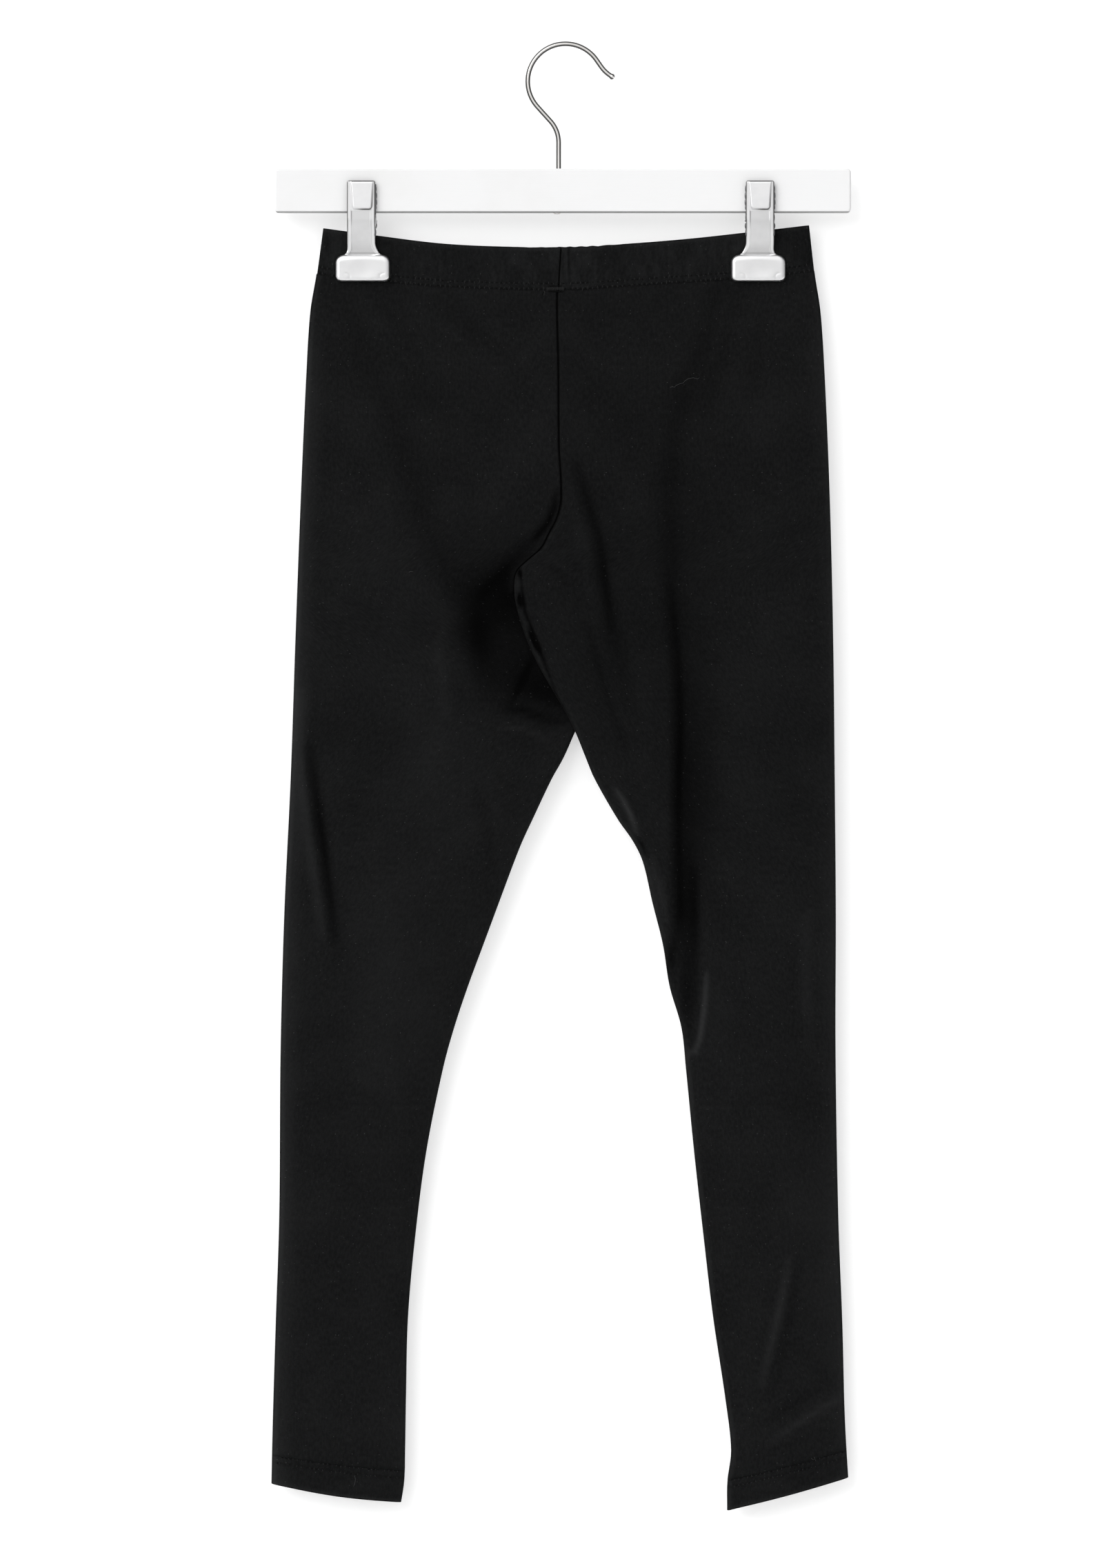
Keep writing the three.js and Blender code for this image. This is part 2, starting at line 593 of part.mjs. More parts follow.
// An outline seen from the side, given as pairs of y and z, and extruded along X.
function plateYZ(outline, fromX, thickness) {
  const shape = new THREE.Shape(outline.map(([y, z]) => new THREE.Vector2(y, z)));
  const geometry = new THREE.ExtrudeGeometry(shape, { depth: thickness, bevelEnabled: false });
  geometry.rotateX(QUARTER_TURN);
  geometry.rotateZ(QUARTER_TURN);
  geometry.translate(fromX, 0, 0);
  return solidOf(geometry);
}

function roundedBox(width, height, corner) {
  const shape = new THREE.Shape();
  const [w, h] = [width / 2, height / 2];
  shape.moveTo(-w + corner, -h);
  shape.lineTo(w - corner, -h);
  shape.absarc(w - corner, -h + corner, corner, -QUARTER_TURN, 0);
  shape.lineTo(w, h - corner);
  shape.absarc(w - corner, h - corner, corner, 0, QUARTER_TURN);
  shape.lineTo(-w + corner, h);
  shape.absarc(-w + corner, h - corner, corner, QUARTER_TURN, Math.PI);
  shape.lineTo(-w, -h + corner);
  shape.absarc(-w + corner, -h + corner, corner, Math.PI, 3 * QUARTER_TURN);
  return shape;
}

function hangerBar(name) {
  const geometry = new THREE.ExtrudeGeometry(roundedBox(BAR.length, BAR.height, BAR.corner), {
    depth: BAR.thickness - 2 * BAR.bevel,
    bevelThickness: BAR.bevel,
    bevelSize: BAR.bevel,
    bevelOffset: -BAR.bevel,
    bevelSegments: 2,
    curveSegments: 4,
  });
  geometry.translate(0, 0, -BAR.thickness / 2 + BAR.bevel);
  geometry.rotateX(QUARTER_TURN);
  geometry.translate(BAR.centreX, 0, BAR.topZ - BAR.height / 2);
  const boreFoot = HOOK.stemBottomZ - BORE_CLEARANCE;
  const boreLength = BAR.topZ + 5 - boreFoot;
  const bore = rod(HOOK.wireRadius + BORE_CLEARANCE, boreLength, 16, { x: HOOK.stemX, z: boreFoot + boreLength / 2 });
  return meshOf(name, solidOf(geometry).subtract(bore), PAINT);
}

// The outline of a jaw from the front: a straight shank that flares into a wide pad with rounded corners.
function jawOutline() {
  const { shankHalf, padHalf, padCorner, padFoot, flareHalf } = JAW;
  const half = [
    [0, JAW.topZ],
    [shankHalf - 1.5, JAW.topZ],
    [shankHalf - 0.4, JAW.topZ - 0.4],
    [shankHalf, JAW.topZ - 1.5],
    [shankHalf, JAW.flareTopZ],
  ];
  for (let k = 1; k <= 4; k++) {
    const turn = (k / 4) * QUARTER_TURN;
    const x = shankHalf + (flareHalf - shankHalf) * (1 - Math.cos(turn));
    half.push([x, lerp(JAW.flareTopZ, JAW.padTopZ, Math.sin(turn))]);
  }
  for (let k = 0; k <= 4; k++) {
    const turn = (k / 4) * QUARTER_TURN;
    const x = padHalf - padCorner * (1 - Math.sin(turn));
    half.push([x, JAW.padTopZ - 0.4 - padCorner * (1 - Math.cos(turn))]);
  }
  for (let k = 0; k <= 3; k++) {
    const turn = (k / 3) * QUARTER_TURN;
    const x = padHalf - padFoot * (1 - Math.cos(turn));
    half.push([x, JAW.bottomZ + padFoot * (1 - Math.sin(turn))]);
  }
  half.push([0, JAW.bottomZ]);
  const mirrored = half.slice(1, -1).reverse().map(([x, z]) => [-x, z]);
  return new THREE.Shape([...half, ...mirrored].map(([x, z]) => new THREE.Vector2(x, z)));
}

// A pressed steel jaw: shank, slope and cushion-shaped pad from one sheet, a raised thumb press, two pivot flanges.
function jaw(name, clip, side) {
  const { standoff, sheet, grip, padDepth } = JAW;
  const profile = [
    [standoff, JAW.topZ + 0.1],
    [standoff + sheet, JAW.topZ + 0.1],
    [standoff + sheet, JAW.bendTopZ],
    [grip + sheet + 0.1, JAW.bendBottomZ + 0.5],
    [grip + padDepth - 1.2, JAW.padTopZ + 0.2],
    [grip + padDepth - 0.2, JAW.padTopZ - 1.6],
    [grip + padDepth, JAW.padTopZ - 3.4],
    [grip + padDepth, JAW.bottomZ + 3.4],
    [grip + padDepth - 0.6, JAW.bottomZ + 1.4],
    [grip + padDepth - 1.8, JAW.bottomZ - 0.1],
    [grip, JAW.bottomZ - 0.1],
    [grip, JAW.bendBottomZ],
    [standoff, JAW.bendTopZ - 0.3],
  ];
  const swing = ([y, z]) => [side * y, z];
  const sheetBody = plateYZ(profile.map(swing), -JAW.padHalf - 1, 2 * JAW.padHalf + 2);
  let body = plateXZ(jawOutline(), -30, 60).intersect(sheetBody);
  const press = new THREE.Shape(
    [
      [-JAW.bossTopHalf, JAW.bossTopZ],
      [-JAW.bossFootHalf, JAW.bossFootZ + 1.5],
      [-JAW.bossFootHalf + 1.5, JAW.bossFootZ],
      [JAW.bossFootHalf - 1.5, JAW.bossFootZ],
      [JAW.bossFootHalf, JAW.bossFootZ + 1.5],
      [JAW.bossTopHalf, JAW.bossTopZ],
    ].map(([x, z]) => new THREE.Vector2(x, z)),
  );
  const pressFrom = side * (standoff + sheet / 2);
  const pressTo = side * (standoff + sheet + JAW.bossRise);
  body = body.add(plateXZ(press, Math.min(pressFrom, pressTo), Math.abs(pressTo - pressFrom)));
  const flangeOuter = side === FRONT ? FLANGE.frontOuter : FLANGE.backOuter;
  const flange = [
    [standoff + 0.2, PIN.z + FLANGE.half + 1.6],
    [0, PIN.z + FLANGE.past],
    [-FLANGE.past, PIN.z + 1.2],
    [-FLANGE.past, PIN.z - 1.2],
    [0, PIN.z - FLANGE.past],
    [standoff - 1.4, PIN.z - FLANGE.half],
  ];
  for (const hand of [LEFT, RIGHT]) {
    const fromX = hand === LEFT ? -flangeOuter : flangeOuter - FLANGE.sheet;
    body = body.add(plateYZ(flange.map(swing), fromX, FLANGE.sheet));
  }
  const hole = rod(PIN.radius + PIN.clearance, 60, 12, { z: PIN.z }, true);
  return meshOf(name, body.subtract(hole).translate([clip.x, 0, 0]), SATIN);
}

// The saddle that carries a clip: a strap under the bar, up both of its faces, with two ears for the pin.
function saddle(name, clip) {
  const inner = BAR.thickness / 2 + SEAT_GAP;
  const outer = inner + SADDLE.sheet;
  const under = BAR.topZ - BAR.height - SEAT_GAP;
  const strap = [
    [-outer, SADDLE.topZ],
    [-inner, SADDLE.topZ],
    [-inner, under],
    [inner, under],
    [inner, SADDLE.topZ],
    [outer, SADDLE.topZ],
    [outer, under - SADDLE.sheet],
    [-outer, under - SADDLE.sheet],
  ];
  const ear = [
    [-SADDLE.earHalf, under - SADDLE.sheet / 2],
    [SADDLE.earHalf, under - SADDLE.sheet / 2],
    [SADDLE.earHalf - 0.6, SADDLE.earFootZ + 1.2],
    [SADDLE.earHalf - 1.8, SADDLE.earFootZ],
    [-SADDLE.earHalf + 1.8, SADDLE.earFootZ],
    [-SADDLE.earHalf + 0.6, SADDLE.earFootZ + 1.2],
  ];
  let body = plateYZ(strap, -SADDLE.half, 2 * SADDLE.half);
  body = body.add(plateYZ(ear, -SADDLE.half, SADDLE.sheet));
  body = body.add(plateYZ(ear, SADDLE.half - SADDLE.sheet, SADDLE.sheet));
  const hole = rod(PIN.radius + PIN.clearance, 60, 12, { z: PIN.z }, true);
  return meshOf(name, body.subtract(hole).translate([clip.x, 0, 0]), SATIN);
}

// The pin with its two heads. Its ends stand just outside the flanges.
function pin(name, clip) {
  const shaft = rod(PIN.radius, 2 * PIN.half, 12, { z: PIN.z }, true);
  const head = PIN.half - FLANGE.frontOuter - SEAT_GAP;
  const middle = PIN.half - head / 2;
  const heads = [LEFT, RIGHT].map((hand) => rod(2.1, head, 12, { x: hand * middle, z: PIN.z }, true));
  return meshOf(name, heads.reduce((body, part) => body.add(part), shaft).translate([clip.x, 0, 0]), SATIN);
}

const garment = new THREE.Group();
garment.name = "leggings_on_clip_hanger";
garment.add(
  waistband("waistband"),
  legPanel("leg_left", LEFT),
  legPanel("leg_right", RIGHT),
  hemRing("hem_left", LEFT),
  hemRing("hem_right", RIGHT),
  hangerBar("hanger_bar"),
  wireAlong("hook", hookStations(), 14, WIRE),
);
for (const [hand, clip] of Object.entries(CLIPS)) {
  garment.add(
    jaw(`clip_${hand}_front_jaw`, clip, FRONT),
    jaw(`clip_${hand}_back_jaw`, clip, BACK),
    saddle(`clip_${hand}_saddle`, clip),
    pin(`clip_${hand}_pin`, clip),
  );
}

export default garment;
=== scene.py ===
# Black jersey leggings hanging from a white bar hanger with a wire hook and two steel clips.
# Lengths are in millimetres until a point is placed in the frame, which is in metres.
import bisect
import math
import random

import bmesh
import bpy
from mathutils import Matrix, Vector, noise


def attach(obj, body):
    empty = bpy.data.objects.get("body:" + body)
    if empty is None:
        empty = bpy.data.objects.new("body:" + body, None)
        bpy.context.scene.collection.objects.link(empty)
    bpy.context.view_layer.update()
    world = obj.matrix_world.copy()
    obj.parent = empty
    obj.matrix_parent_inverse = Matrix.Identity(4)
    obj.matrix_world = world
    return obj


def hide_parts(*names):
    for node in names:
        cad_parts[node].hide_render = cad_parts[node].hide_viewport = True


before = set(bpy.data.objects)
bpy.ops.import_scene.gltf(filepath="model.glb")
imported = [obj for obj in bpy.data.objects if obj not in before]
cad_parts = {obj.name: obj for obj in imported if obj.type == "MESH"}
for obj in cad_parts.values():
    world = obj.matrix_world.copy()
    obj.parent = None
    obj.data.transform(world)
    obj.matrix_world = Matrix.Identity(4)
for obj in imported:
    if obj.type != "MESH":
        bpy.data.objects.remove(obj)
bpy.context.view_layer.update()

MM = 0.001
FRONT, BACK = -1, 1
LEFT, RIGHT = -1, 1
QUARTER_TURN = math.pi / 2

# The photograph's view: its height in pixels, and the size of one pixel at the garment.
PHOTO_HEIGHT = 2274
MM_PER_PIXEL = 0.5025
CAMERA_DISTANCE = 6500
CAMERA_X, CAMERA_Z = -4.0, -537.7
SENSOR = 36


def table(names, *rows):
    """The rows of a table, each with its values under the names of the columns."""
    return [dict(zip(names.split(), row)) for row in rows]


# The cloth. A drop is how far a place lies below the waistband's upper corners; x is from the centre line.
GARMENT_X = -4
WAIST_Z = -132
LEG_WALL = 1.2
BAND_WALL = 2.2
HEM_WALL = 1.8
CROTCH_DROP = 267
LAYER_GAP = 0.6
CLIP_X = {"left": -148, "right": 141.5}

# The outer folds of the two legs, and how far the cloth stands out from the middle.
SIDES = table(
    "drop left right depth",
    (0, -172.5, 181.5, 6.5),
    (35, -177.6, 185.8, 7.5),
    (62, -182.0, 189.9, 9),
    (110, -185.0, 193.0, 10),
    (200, -189.0, 196.7, 10.5),
    (300, -192.8, 199.1, 10.5),
    (400, -196.2, 200.2, 10),
    (500, -200.9, 201.0, 9),
    (600, -203.6, 200.8, 8.2),
    (720, -204.6, 202.8, 7.4),
    (800, -207.2, 205.8, 7),
    (870, -209.3, 207.7, 6.8),
    (935, -210.7, 211.6, 6.6),
)

# The seams between the legs down to the crotch, and below it the inner folds of the legs.
INNER = table(
    "drop right left",
    (30, 0.5, 0.5),
    (48, -2, -0.5),
    (100, -1.2, 0),
    (160, -0.7, 0),
    (184, 0.7, 0),
    (201, 0.8, -0.6),
    (213, -2.4, -2.5),
    (224, -8.2, -6),
    (234, -13.4, -11.5),
    (242, -22.6, -18),
    (250, -30.8, -25),
    (258, -33.1, -31),
    (267, -33.2, -33.2),
    (275, -32, -29.5),
    (288, -28.6, -15),
    (305, -22.4, 2.5),
    (322, -14.2, 13.5),
    (342, -2.6, 18.5),
    (357, 6.0, 15.8),
    (369, 11.7, 10.4),
    (387, 18.9, 2.4),
    (402, 25.2, -6.0),
    (432, 42.4, -20.2),
    (447, 52.9, -27.2),
    (462, 60.2, -33.2),
    (492, 67.3, -44.4),
    (523, 75.0, -55.9),
    (553, 79.8, -67.0),
    (583, 88.4, -77.0),
    (613, 91.7, -85.2),
    (673, 97.6, -97.3),
    (734, 104.4, -105.3),
    (794, 111.5, -110.7),
    (854, 120.5, -112.2),
    (891, 124.6, -112.8),
    (914, 121.9, -113.5),
    (935, 121.7, -116.8),
)

# The upper edge of the waistband at the front, and the waistband's sizes. A half is half of its thickness.
WAIST_EDGE = table(
    "x drop",
    (-178, 0),
    (-132, 6.3),
    (-84, 12.2),
    (-36, 14.6),
    (6, 14.8),
    (42, 12.9),
    (90, 8.9),
    (133, 4.2),
    (187, -2),
)
BAND_HEIGHT = 31
BAND_EXTRA_AT_ENDS = 3
BAND_HALF_AT_CENTRE = 7.6
BAND_HALF_AT_CLIP = 2.45
BAND_HALF_AT_END = 2.8
BAND_FLAT_HALF = 22
BAND_OPENING = 95
BAND_BACK_SAG = 2.5
BAND_STITCH_ROWS = (0.2, 4.1)

# The hems: the drops of seam and folded edge at the inner and outer folds, and how far each line bows down.
HEMS = {
    LEFT: dict(inner_seam=906, outer_seam=894.5, inner_edge=929, outer_edge=915.5, seam_bow=1.2,
               edge_bow=2.2),
    RIGHT: dict(inner_seam=913, outer_seam=891, inner_edge=935, outer_edge=911, seam_bow=0.6, edge_bow=0.8),
}
HEM_STITCH_ROWS = (0.3, 5.0)
HEM_WIDTH_DROP = 915

# How the legs fill out: the roundness of their folds, where the clips and seams hold them flat, and how the
# right leg lies over the left at the front, and the left over the right at the back, about the crotch.
FOLD_RADIUS = 4.5
EDGE_DEPTH_SHARE = 0.7
SWELL = 45
CLIP_RELEASE = 95
SEAM_CLOSING = 25
OVERLAP_START, OVERLAP_END, OVERLAP_RELEASE = 188, 369, 412
PASS_HEIGHT = 8
EASED_PASS = 30
COVERED_DEPTH = 3
COVER_RAMP = 52
COVER_MARGIN = 3
HOLLOW_SHADE, HOLLOW_FROM, HOLLOW_TO = 0.62, 222, 342

# The seams of a leg: how far each sinks, how much painted shade lies in its sunk line and half its width.
SEAMS = dict(
    rise=dict(sink=1.2, dark=1.1, width=0.75),
    under_band=dict(sink=0.35, dark=0.1, width=1.3),
    at_hem=dict(sink=0.4, dark=0.18, width=1.4),
)
RISE_FADES = (236, 262)
# The seams and rows of the waistband and the hems.
# The dark of each seam and of the tuck is the painted shade in its sunk line.
BAND_SEAM = dict(sink=0.9, front_dark=1.2, back_dark=1.1, width=0.5)
BAND_TUCK = dict(x=6.5, sink=0.45, dark=0.6, width=0.8, ends=0.5)
ROW_SINK, ROW_WIDTH = 0.35, 0.8

# The large soft folds of the solids. x is at top, middle and bottom. A negative height is a trough.
FOLDS = {
    (RIGHT, FRONT): table(
        "top bottom x width height",
        (170, 606, (82, 86, 97), 11, -3.2),
        (470, 612, (108, 105, 99), 7, 1.4),
        (180, 370, (15, 36, 55), 7, -1.8),
        (205, 420, (4, 0, 40), 16, 2.2),
        (640, 850, (172, 158, 145), 12, 1.2),
        (40, 160, (128, 114, 96), 13, -1.2),
    ),
    (LEFT, FRONT): table(
        "top bottom x width height",
        (350, 545, (-188, -174, -160), 8, -2.0),
        (380, 640, (-104, -118, -132), 24, 1.6),
        (40, 150, (-126, -108, -88), 13, -1.2),
    ),
    (LEFT, BACK): table(
        "top bottom x width height",
        (175, 590, (-92, -98, -108), 12, -2.8),
        (205, 420, (-20, -10, -30), 16, 2.0),
        (600, 830, (-172, -160, -150), 13, 1.2),
    ),
    (RIGHT, BACK): table(
        "top bottom x width height",
        (330, 560, (186, 172, 158), 9, -2.0),
        (420, 660, (118, 128, 140), 22, 1.5),
        (45, 165, (124, 106, 90), 14, -1.2),
    ),
}

# Narrow creases that only the looks have. Each path is a list of (x, drop).
# A tone is painted shade in a trough and a painted highlight on a ridge.
CREASES = {
    (RIGHT, FRONT): table(
        "width height tone path",
        (3.2, -1.8, -0.34,
         [(80.9, 262), (85.9, 311), (87.4, 340), (87.9, 362), (86.4, 395), (85.9, 427), (87.4, 498),
          (83, 526), (77.5, 546)]),
        (4.5, 1.0, 0.25, [(73, 280), (78, 330), (79, 395), (78, 450), (79, 492)]),
        (9, -0.5, -0.26, [(114, 46), (107, 78), (90, 117), (83, 160), (80, 200), (80, 250)]),
        (3.6, -1.8, -0.3, [(98, 470), (99.5, 505), (99.5, 548), (98, 580), (95, 594)]),
        (2.2, 1.6, 0.75, [(107, 545), (105.5, 566), (102.3, 590), (99, 600), (93, 603)]),
        (2.6, 0.9, 0.2, [(86, 540), (86.5, 556), (88, 575)]),
        (3.6, -1.6, -0.4, [(12, 172), (22.6, 206), (29.1, 228), (34.2, 265), (38, 292)]),
        (5.0, 0.7, 0.18, [(6, 190), (14, 214), (20, 236), (22, 270)]),
        (3.0, -0.8, -0.25, [(20, 290), (28, 318), (36, 345), (48, 380)]),
        (3.4, 0.6, 0.12, [(-19, 249), (-8, 253), (3, 263), (8, 285)]),
        (3.0, 0.5, 0.1, [(-14, 240), (-4, 244), (8, 254)]),
        (2.8, -0.7, -0.2, [(-16, 246), (-5, 249), (3, 256), (4, 280)]),
        (1.1, -1.5, -0.7,
         [(-28.6, 250), (-27.6, 261), (-25.1, 281), (-16.1, 303), (-10, 321), (-2.5, 341), (9, 360)]),
        (1.8, -2.4, -1.0, [(-29.6, 249.5), (-29.4, 255)]),
        (2.2, -2.8, -1.5, [(-29.4, 268), (-28.6, 276)]),
        (1.9, -2.8, -1.5, [(-22.0, 295), (-15.4, 309)]),
        (2.0, 1.2, 0.7, [(42, 411), (47, 419), (52.5, 430), (56.5, 444)]),
        (5.0, 0.6, 0.2, [(38, 405), (46, 420), (54, 436)]),
        (4.0, 0.8, 0.3, [(66, 458), (72, 480), (78, 502), (82, 516)]),
        (1.6, -1.0, -0.6, [(56, 444), (60, 450), (63, 458)]),
        (3.5, 0.8, 0.3, [(167, 752), (160, 790), (147, 842)]),
        (3.5, -0.8, -0.2, [(174, 758), (168, 796), (156, 850)]),
        (3.0, 0.9, 0.3, [(206, 851), (180, 867), (155, 884)]),
        (3.0, -0.8, -0.25, [(196, 840), (170, 858), (146, 872)]),
        (5.0, 0.5, 0.16, [(180, 500), (179, 540), (181, 600)]),
        (3.6, 0.6, 0.2, [(122, 52), (117, 74), (111, 96)]),
        (7.0, -0.6, -0.14, [(150, 62), (142, 96), (138, 130)]),
    ),
    (LEFT, FRONT): table(
        "width height tone path",
        (3.4, -1.4, -0.9, [(-2, 194), (-4, 205), (-9, 217), (-18, 227)]),
        (6, -0.6, -0.35, [(-16, 226), (-32, 240), (-44, 254), (-58, 268)]),
        (2.6, -0.9, -0.35, [(-19, 312), (-27, 330), (-35, 346)]),
        (3.2, -1.3, -0.5, [(-42, 350), (-26, 353), (-12, 359), (6, 361)]),
        (3.0, 0.9, 0.22, [(-44, 362), (-24, 366), (-8, 374)]),
        (2.2, 0.8, 0.22, [(-30, 345), (-14, 348), (0, 353)]),
        (6.0, 0.8, 0.14, [(-80, 276), (-88, 312), (-82, 352)]),
        (10, -0.7, -0.24, [(-160, 44), (-142, 90), (-124, 130), (-110, 175), (-98, 217), (-78, 262)]),
        (7, -0.5, -0.18, [(-104, 52), (-76, 66), (-53, 82), (-30, 108)]),
        (5, 0.4, 0.1, [(-146, 56), (-126, 74), (-108, 100)]),
        (5, 0.4, 0.1, [(-118, 50), (-90, 66), (-66, 90)]),
        (3.6, -1.5, -0.6, [(-182, 380), (-171, 458), (-163, 520)]),
        (5.0, 0.8, 0.4, [(-190, 340), (-188, 400), (-180, 458), (-172, 514)]),
        (3.2, -0.5, -0.2, [(-60, 410), (-52, 440), (-50, 470)]),
    ),
    (LEFT, BACK): table(
        "width height tone path",
        (3.8, -1.8, -0.5, [(-86, 260), (-92, 330), (-90, 420), (-94, 500), (-84, 545)]),
        (14, -0.6, -0.45, [(-104, 310), (-108, 400), (-106, 470)]),
        (3.6, -1.8, -0.5, [(-103, 480), (-106, 540), (-100, 596)]),
        (3.0, 1.2, 0.5, [(-112, 530), (-110, 566), (-104, 598)]),
        (4.0, -1.4, -0.35, [(-16, 176), (-28, 215), (-36, 262), (-40, 300)]),
        (3.4, 0.8, 0.25, [(-170, 740), (-158, 790), (-146, 838)]),
    ),
    (RIGHT, BACK): table(
        "width height tone path",
        (13, -1.0, -0.8, [(-8, 300), (-26, 322), (-34, 336)]),
        (4.5, -1.3, -0.4, [(178, 380), (168, 452), (160, 516)]),
        (3.4, -1.2, -0.4, [(36, 350), (20, 352), (6, 360), (-6, 361)]),
        (4.0, 0.6, 0.15, [(118, 72), (108, 92), (96, 112)]),
    ),
}
# The painted shade in the trough of a large fold, and the painted highlight on its ridge, for each millimetre of
# its height.
TROUGH_SHADE, RIDGE_HIGHLIGHT = 0.13, 0.03

# Broad soft hollows: the middle of each, half its width and height, how far it slants for each step down, how
# deep it sinks and the painted shade in it.
HOLLOWS = {
    (RIGHT, FRONT): table(
        "at size slant depth tone",
        ((60, 200), (120, 200), 0, 0, -0.15),
        ((10, 300), (45, 80), 0.2, 0, -0.16),
        ((101, 395), (17, 76), 0, 0.4, -0.5),
        ((97, 240), (24, 60), 0.05, 0.2, -0.16),
        ((93, 502), (11, 40), -0.05, 0.3, -0.45),
        ((92, 560), (5, 26), -0.05, 0.3, -0.4),
        ((80, 534), (4, 12), 0, 0.2, -0.4),
        ((40, 235), (10, 40), 0.25, 0.2, -0.05),
    ),
    (LEFT, FRONT): table(
        "at size slant depth tone",
        ((-61, 298), (12, 31), 0.12, 0.8, -0.56),
        ((-40, 270), (20, 30), -0.3, 0.5, -0.3),
        ((-18, 338), (24, 18), 0.4, 0.5, -0.3),
        ((-50, 337), (19, 24), 0.2, 0.3, -0.32),
        ((-32, 226), (20, 22), -0.5, 0.3, -0.18),
        ((-50, 150), (70, 110), 0, 0, -0.09),
        ((-80, 250), (16, 60), 0.25, 0.2, -0.12),
    ),
    (LEFT, BACK): table(
        "at size slant depth tone",
        ((-104, 395), (15, 76), 0, 0.4, -0.4),
        ((-98, 515), (9, 44), 0.05, 0.3, -0.4),
    ),
    (RIGHT, BACK): table(
        "at size slant depth tone",
        ((56, 300), (14, 32), -0.15, 0.7, -0.42),
        ((26, 260), (22, 30), 0.3, 0.4, -0.25),
    ),
}


def clamp(value, low=0.0, high=1.0):
    return max(low, min(high, value))


def lerp(a, b, t):
    return a + (b - a) * t


def smooth(t):
    t = clamp(t)
    return t * t * (3 - 2 * t)


def dome(t):
    """The rise of a round edge: 0 at the edge, 1 from one radius inwards."""
    return math.sqrt(1 - (1 - clamp(t)) ** 2)


def bump_at(distance, width):
    return math.exp(-((distance / width) ** 2))


class Curve:
    """One column of a table, on a smooth curve through its rows."""

    def __init__(self, table, key, column):
        self.places = [row[key] for row in table]
        self.values = [row[column] for row in table]
        last = len(table) - 1
        self.slopes = []
        for i in range(last + 1):
            a, b = max(i - 1, 0), min(i + 1, last)
            self.slopes.append((self.values[b] - self.values[a]) / (self.places[b] - self.places[a]))

    def __call__(self, place):
        i = clamp(bisect.bisect_right(self.places, place) - 1, 0, len(self.places) - 2)
        span = self.places[i + 1] - self.places[i]
        t = clamp((place - self.places[i]) / span)
        rise = self.values[i + 1] - self.values[i]
        start, end = self.slopes[i] * span, self.slopes[i + 1] * span
        square, cube = 3 * rise - 2 * start - end, start + end - 2 * rise
        return self.values[i] + start * t + square * t * t + cube * t**3


OUTER = {LEFT: Curve(SIDES, "drop", "left"), RIGHT: Curve(SIDES, "drop", "right")}
EDGE = {LEFT: Curve(INNER, "drop", "left"), RIGHT: Curve(INNER, "drop", "right")}
full_depth = Curve(SIDES, "drop", "depth")
waist_edge = Curve(WAIST_EDGE, "x", "drop")


def inner_edge(leg, side, drop):
    """Where a panel ends on the inner side: at its seam above the crotch, at its own fold below it."""
    on_front = side == FRONT if drop < CROTCH_DROP else leg == RIGHT
    return EDGE[RIGHT if on_front else LEFT](drop)


def band_half(x):
    """Half the waistband's thickness: pressed flat in the clips and open between them."""
    clip = (CLIP_X["left"] if x < 0 else CLIP_X["right"]) - GARMENT_X
    hand = math.copysign(1, clip)
    inwards = (clip - x) * hand - BAND_FLAT_HALF
    outwards = (x - clip) * hand - BAND_FLAT_HALF
    return (
        BAND_HALF_AT_CLIP
        + (BAND_HALF_AT_CENTRE - BAND_HALF_AT_CLIP) * smooth(inwards / BAND_OPENING)
        + (BAND_HALF_AT_END - BAND_HALF_AT_CLIP) * smooth(outwards / 8)
    )


def overlap_at(drop):
    """How far one leg lies over the other, how far they have passed each other, and the same more gently."""
    release = 1 - smooth((drop - OVERLAP_END) / (OVERLAP_RELEASE - OVERLAP_END))
    start = smooth((drop - OVERLAP_START) / (CROTCH_DROP - OVERLAP_START))
    eased = smooth((drop - CROTCH_DROP + EASED_PASS / 2) / EASED_PASS)
    return min(start, release), min(dome((drop - CROTCH_DROP) / PASS_HEIGHT), release), min(eased, release)


def fold_relief(leg, side, x, drop):
    """The height of the large folds at a place, with painted shade in their troughs and a painted highlight on
    their ridges.
    """
    height = 0
    for fold in FOLDS[leg, side]:
        t = (drop - fold["top"]) / (fold["bottom"] - fold["top"])
        if not 0 < t < 1:
            continue
        top, middle, bottom = fold["x"]
        at = top * (1 - t) * (1 - 2 * t) + 4 * middle * t * (1 - t) + bottom * t * (2 * t - 1)
        height += fold["height"] * math.sin(math.pi * t) ** 0.8 * bump_at(x - at, fold["width"])
    return height, height * (TROUGH_SHADE if height < 0 else RIDGE_HIGHLIGHT)


def hollow_relief(leg, side, x, drop):
    """The height of the broad hollows at a place, and the painted shade in them."""
    height, tone = 0, 0
    for hollow in HOLLOWS[leg, side]:
        down = drop - hollow["at"][1]
        across = x - hollow["at"][0] - hollow["slant"] * down
        share = bump_at(math.hypot(across / hollow["size"][0], down / hollow["size"][1]), 1)
        height -= hollow["depth"] * share
        tone += hollow["tone"] * share
    return height, tone


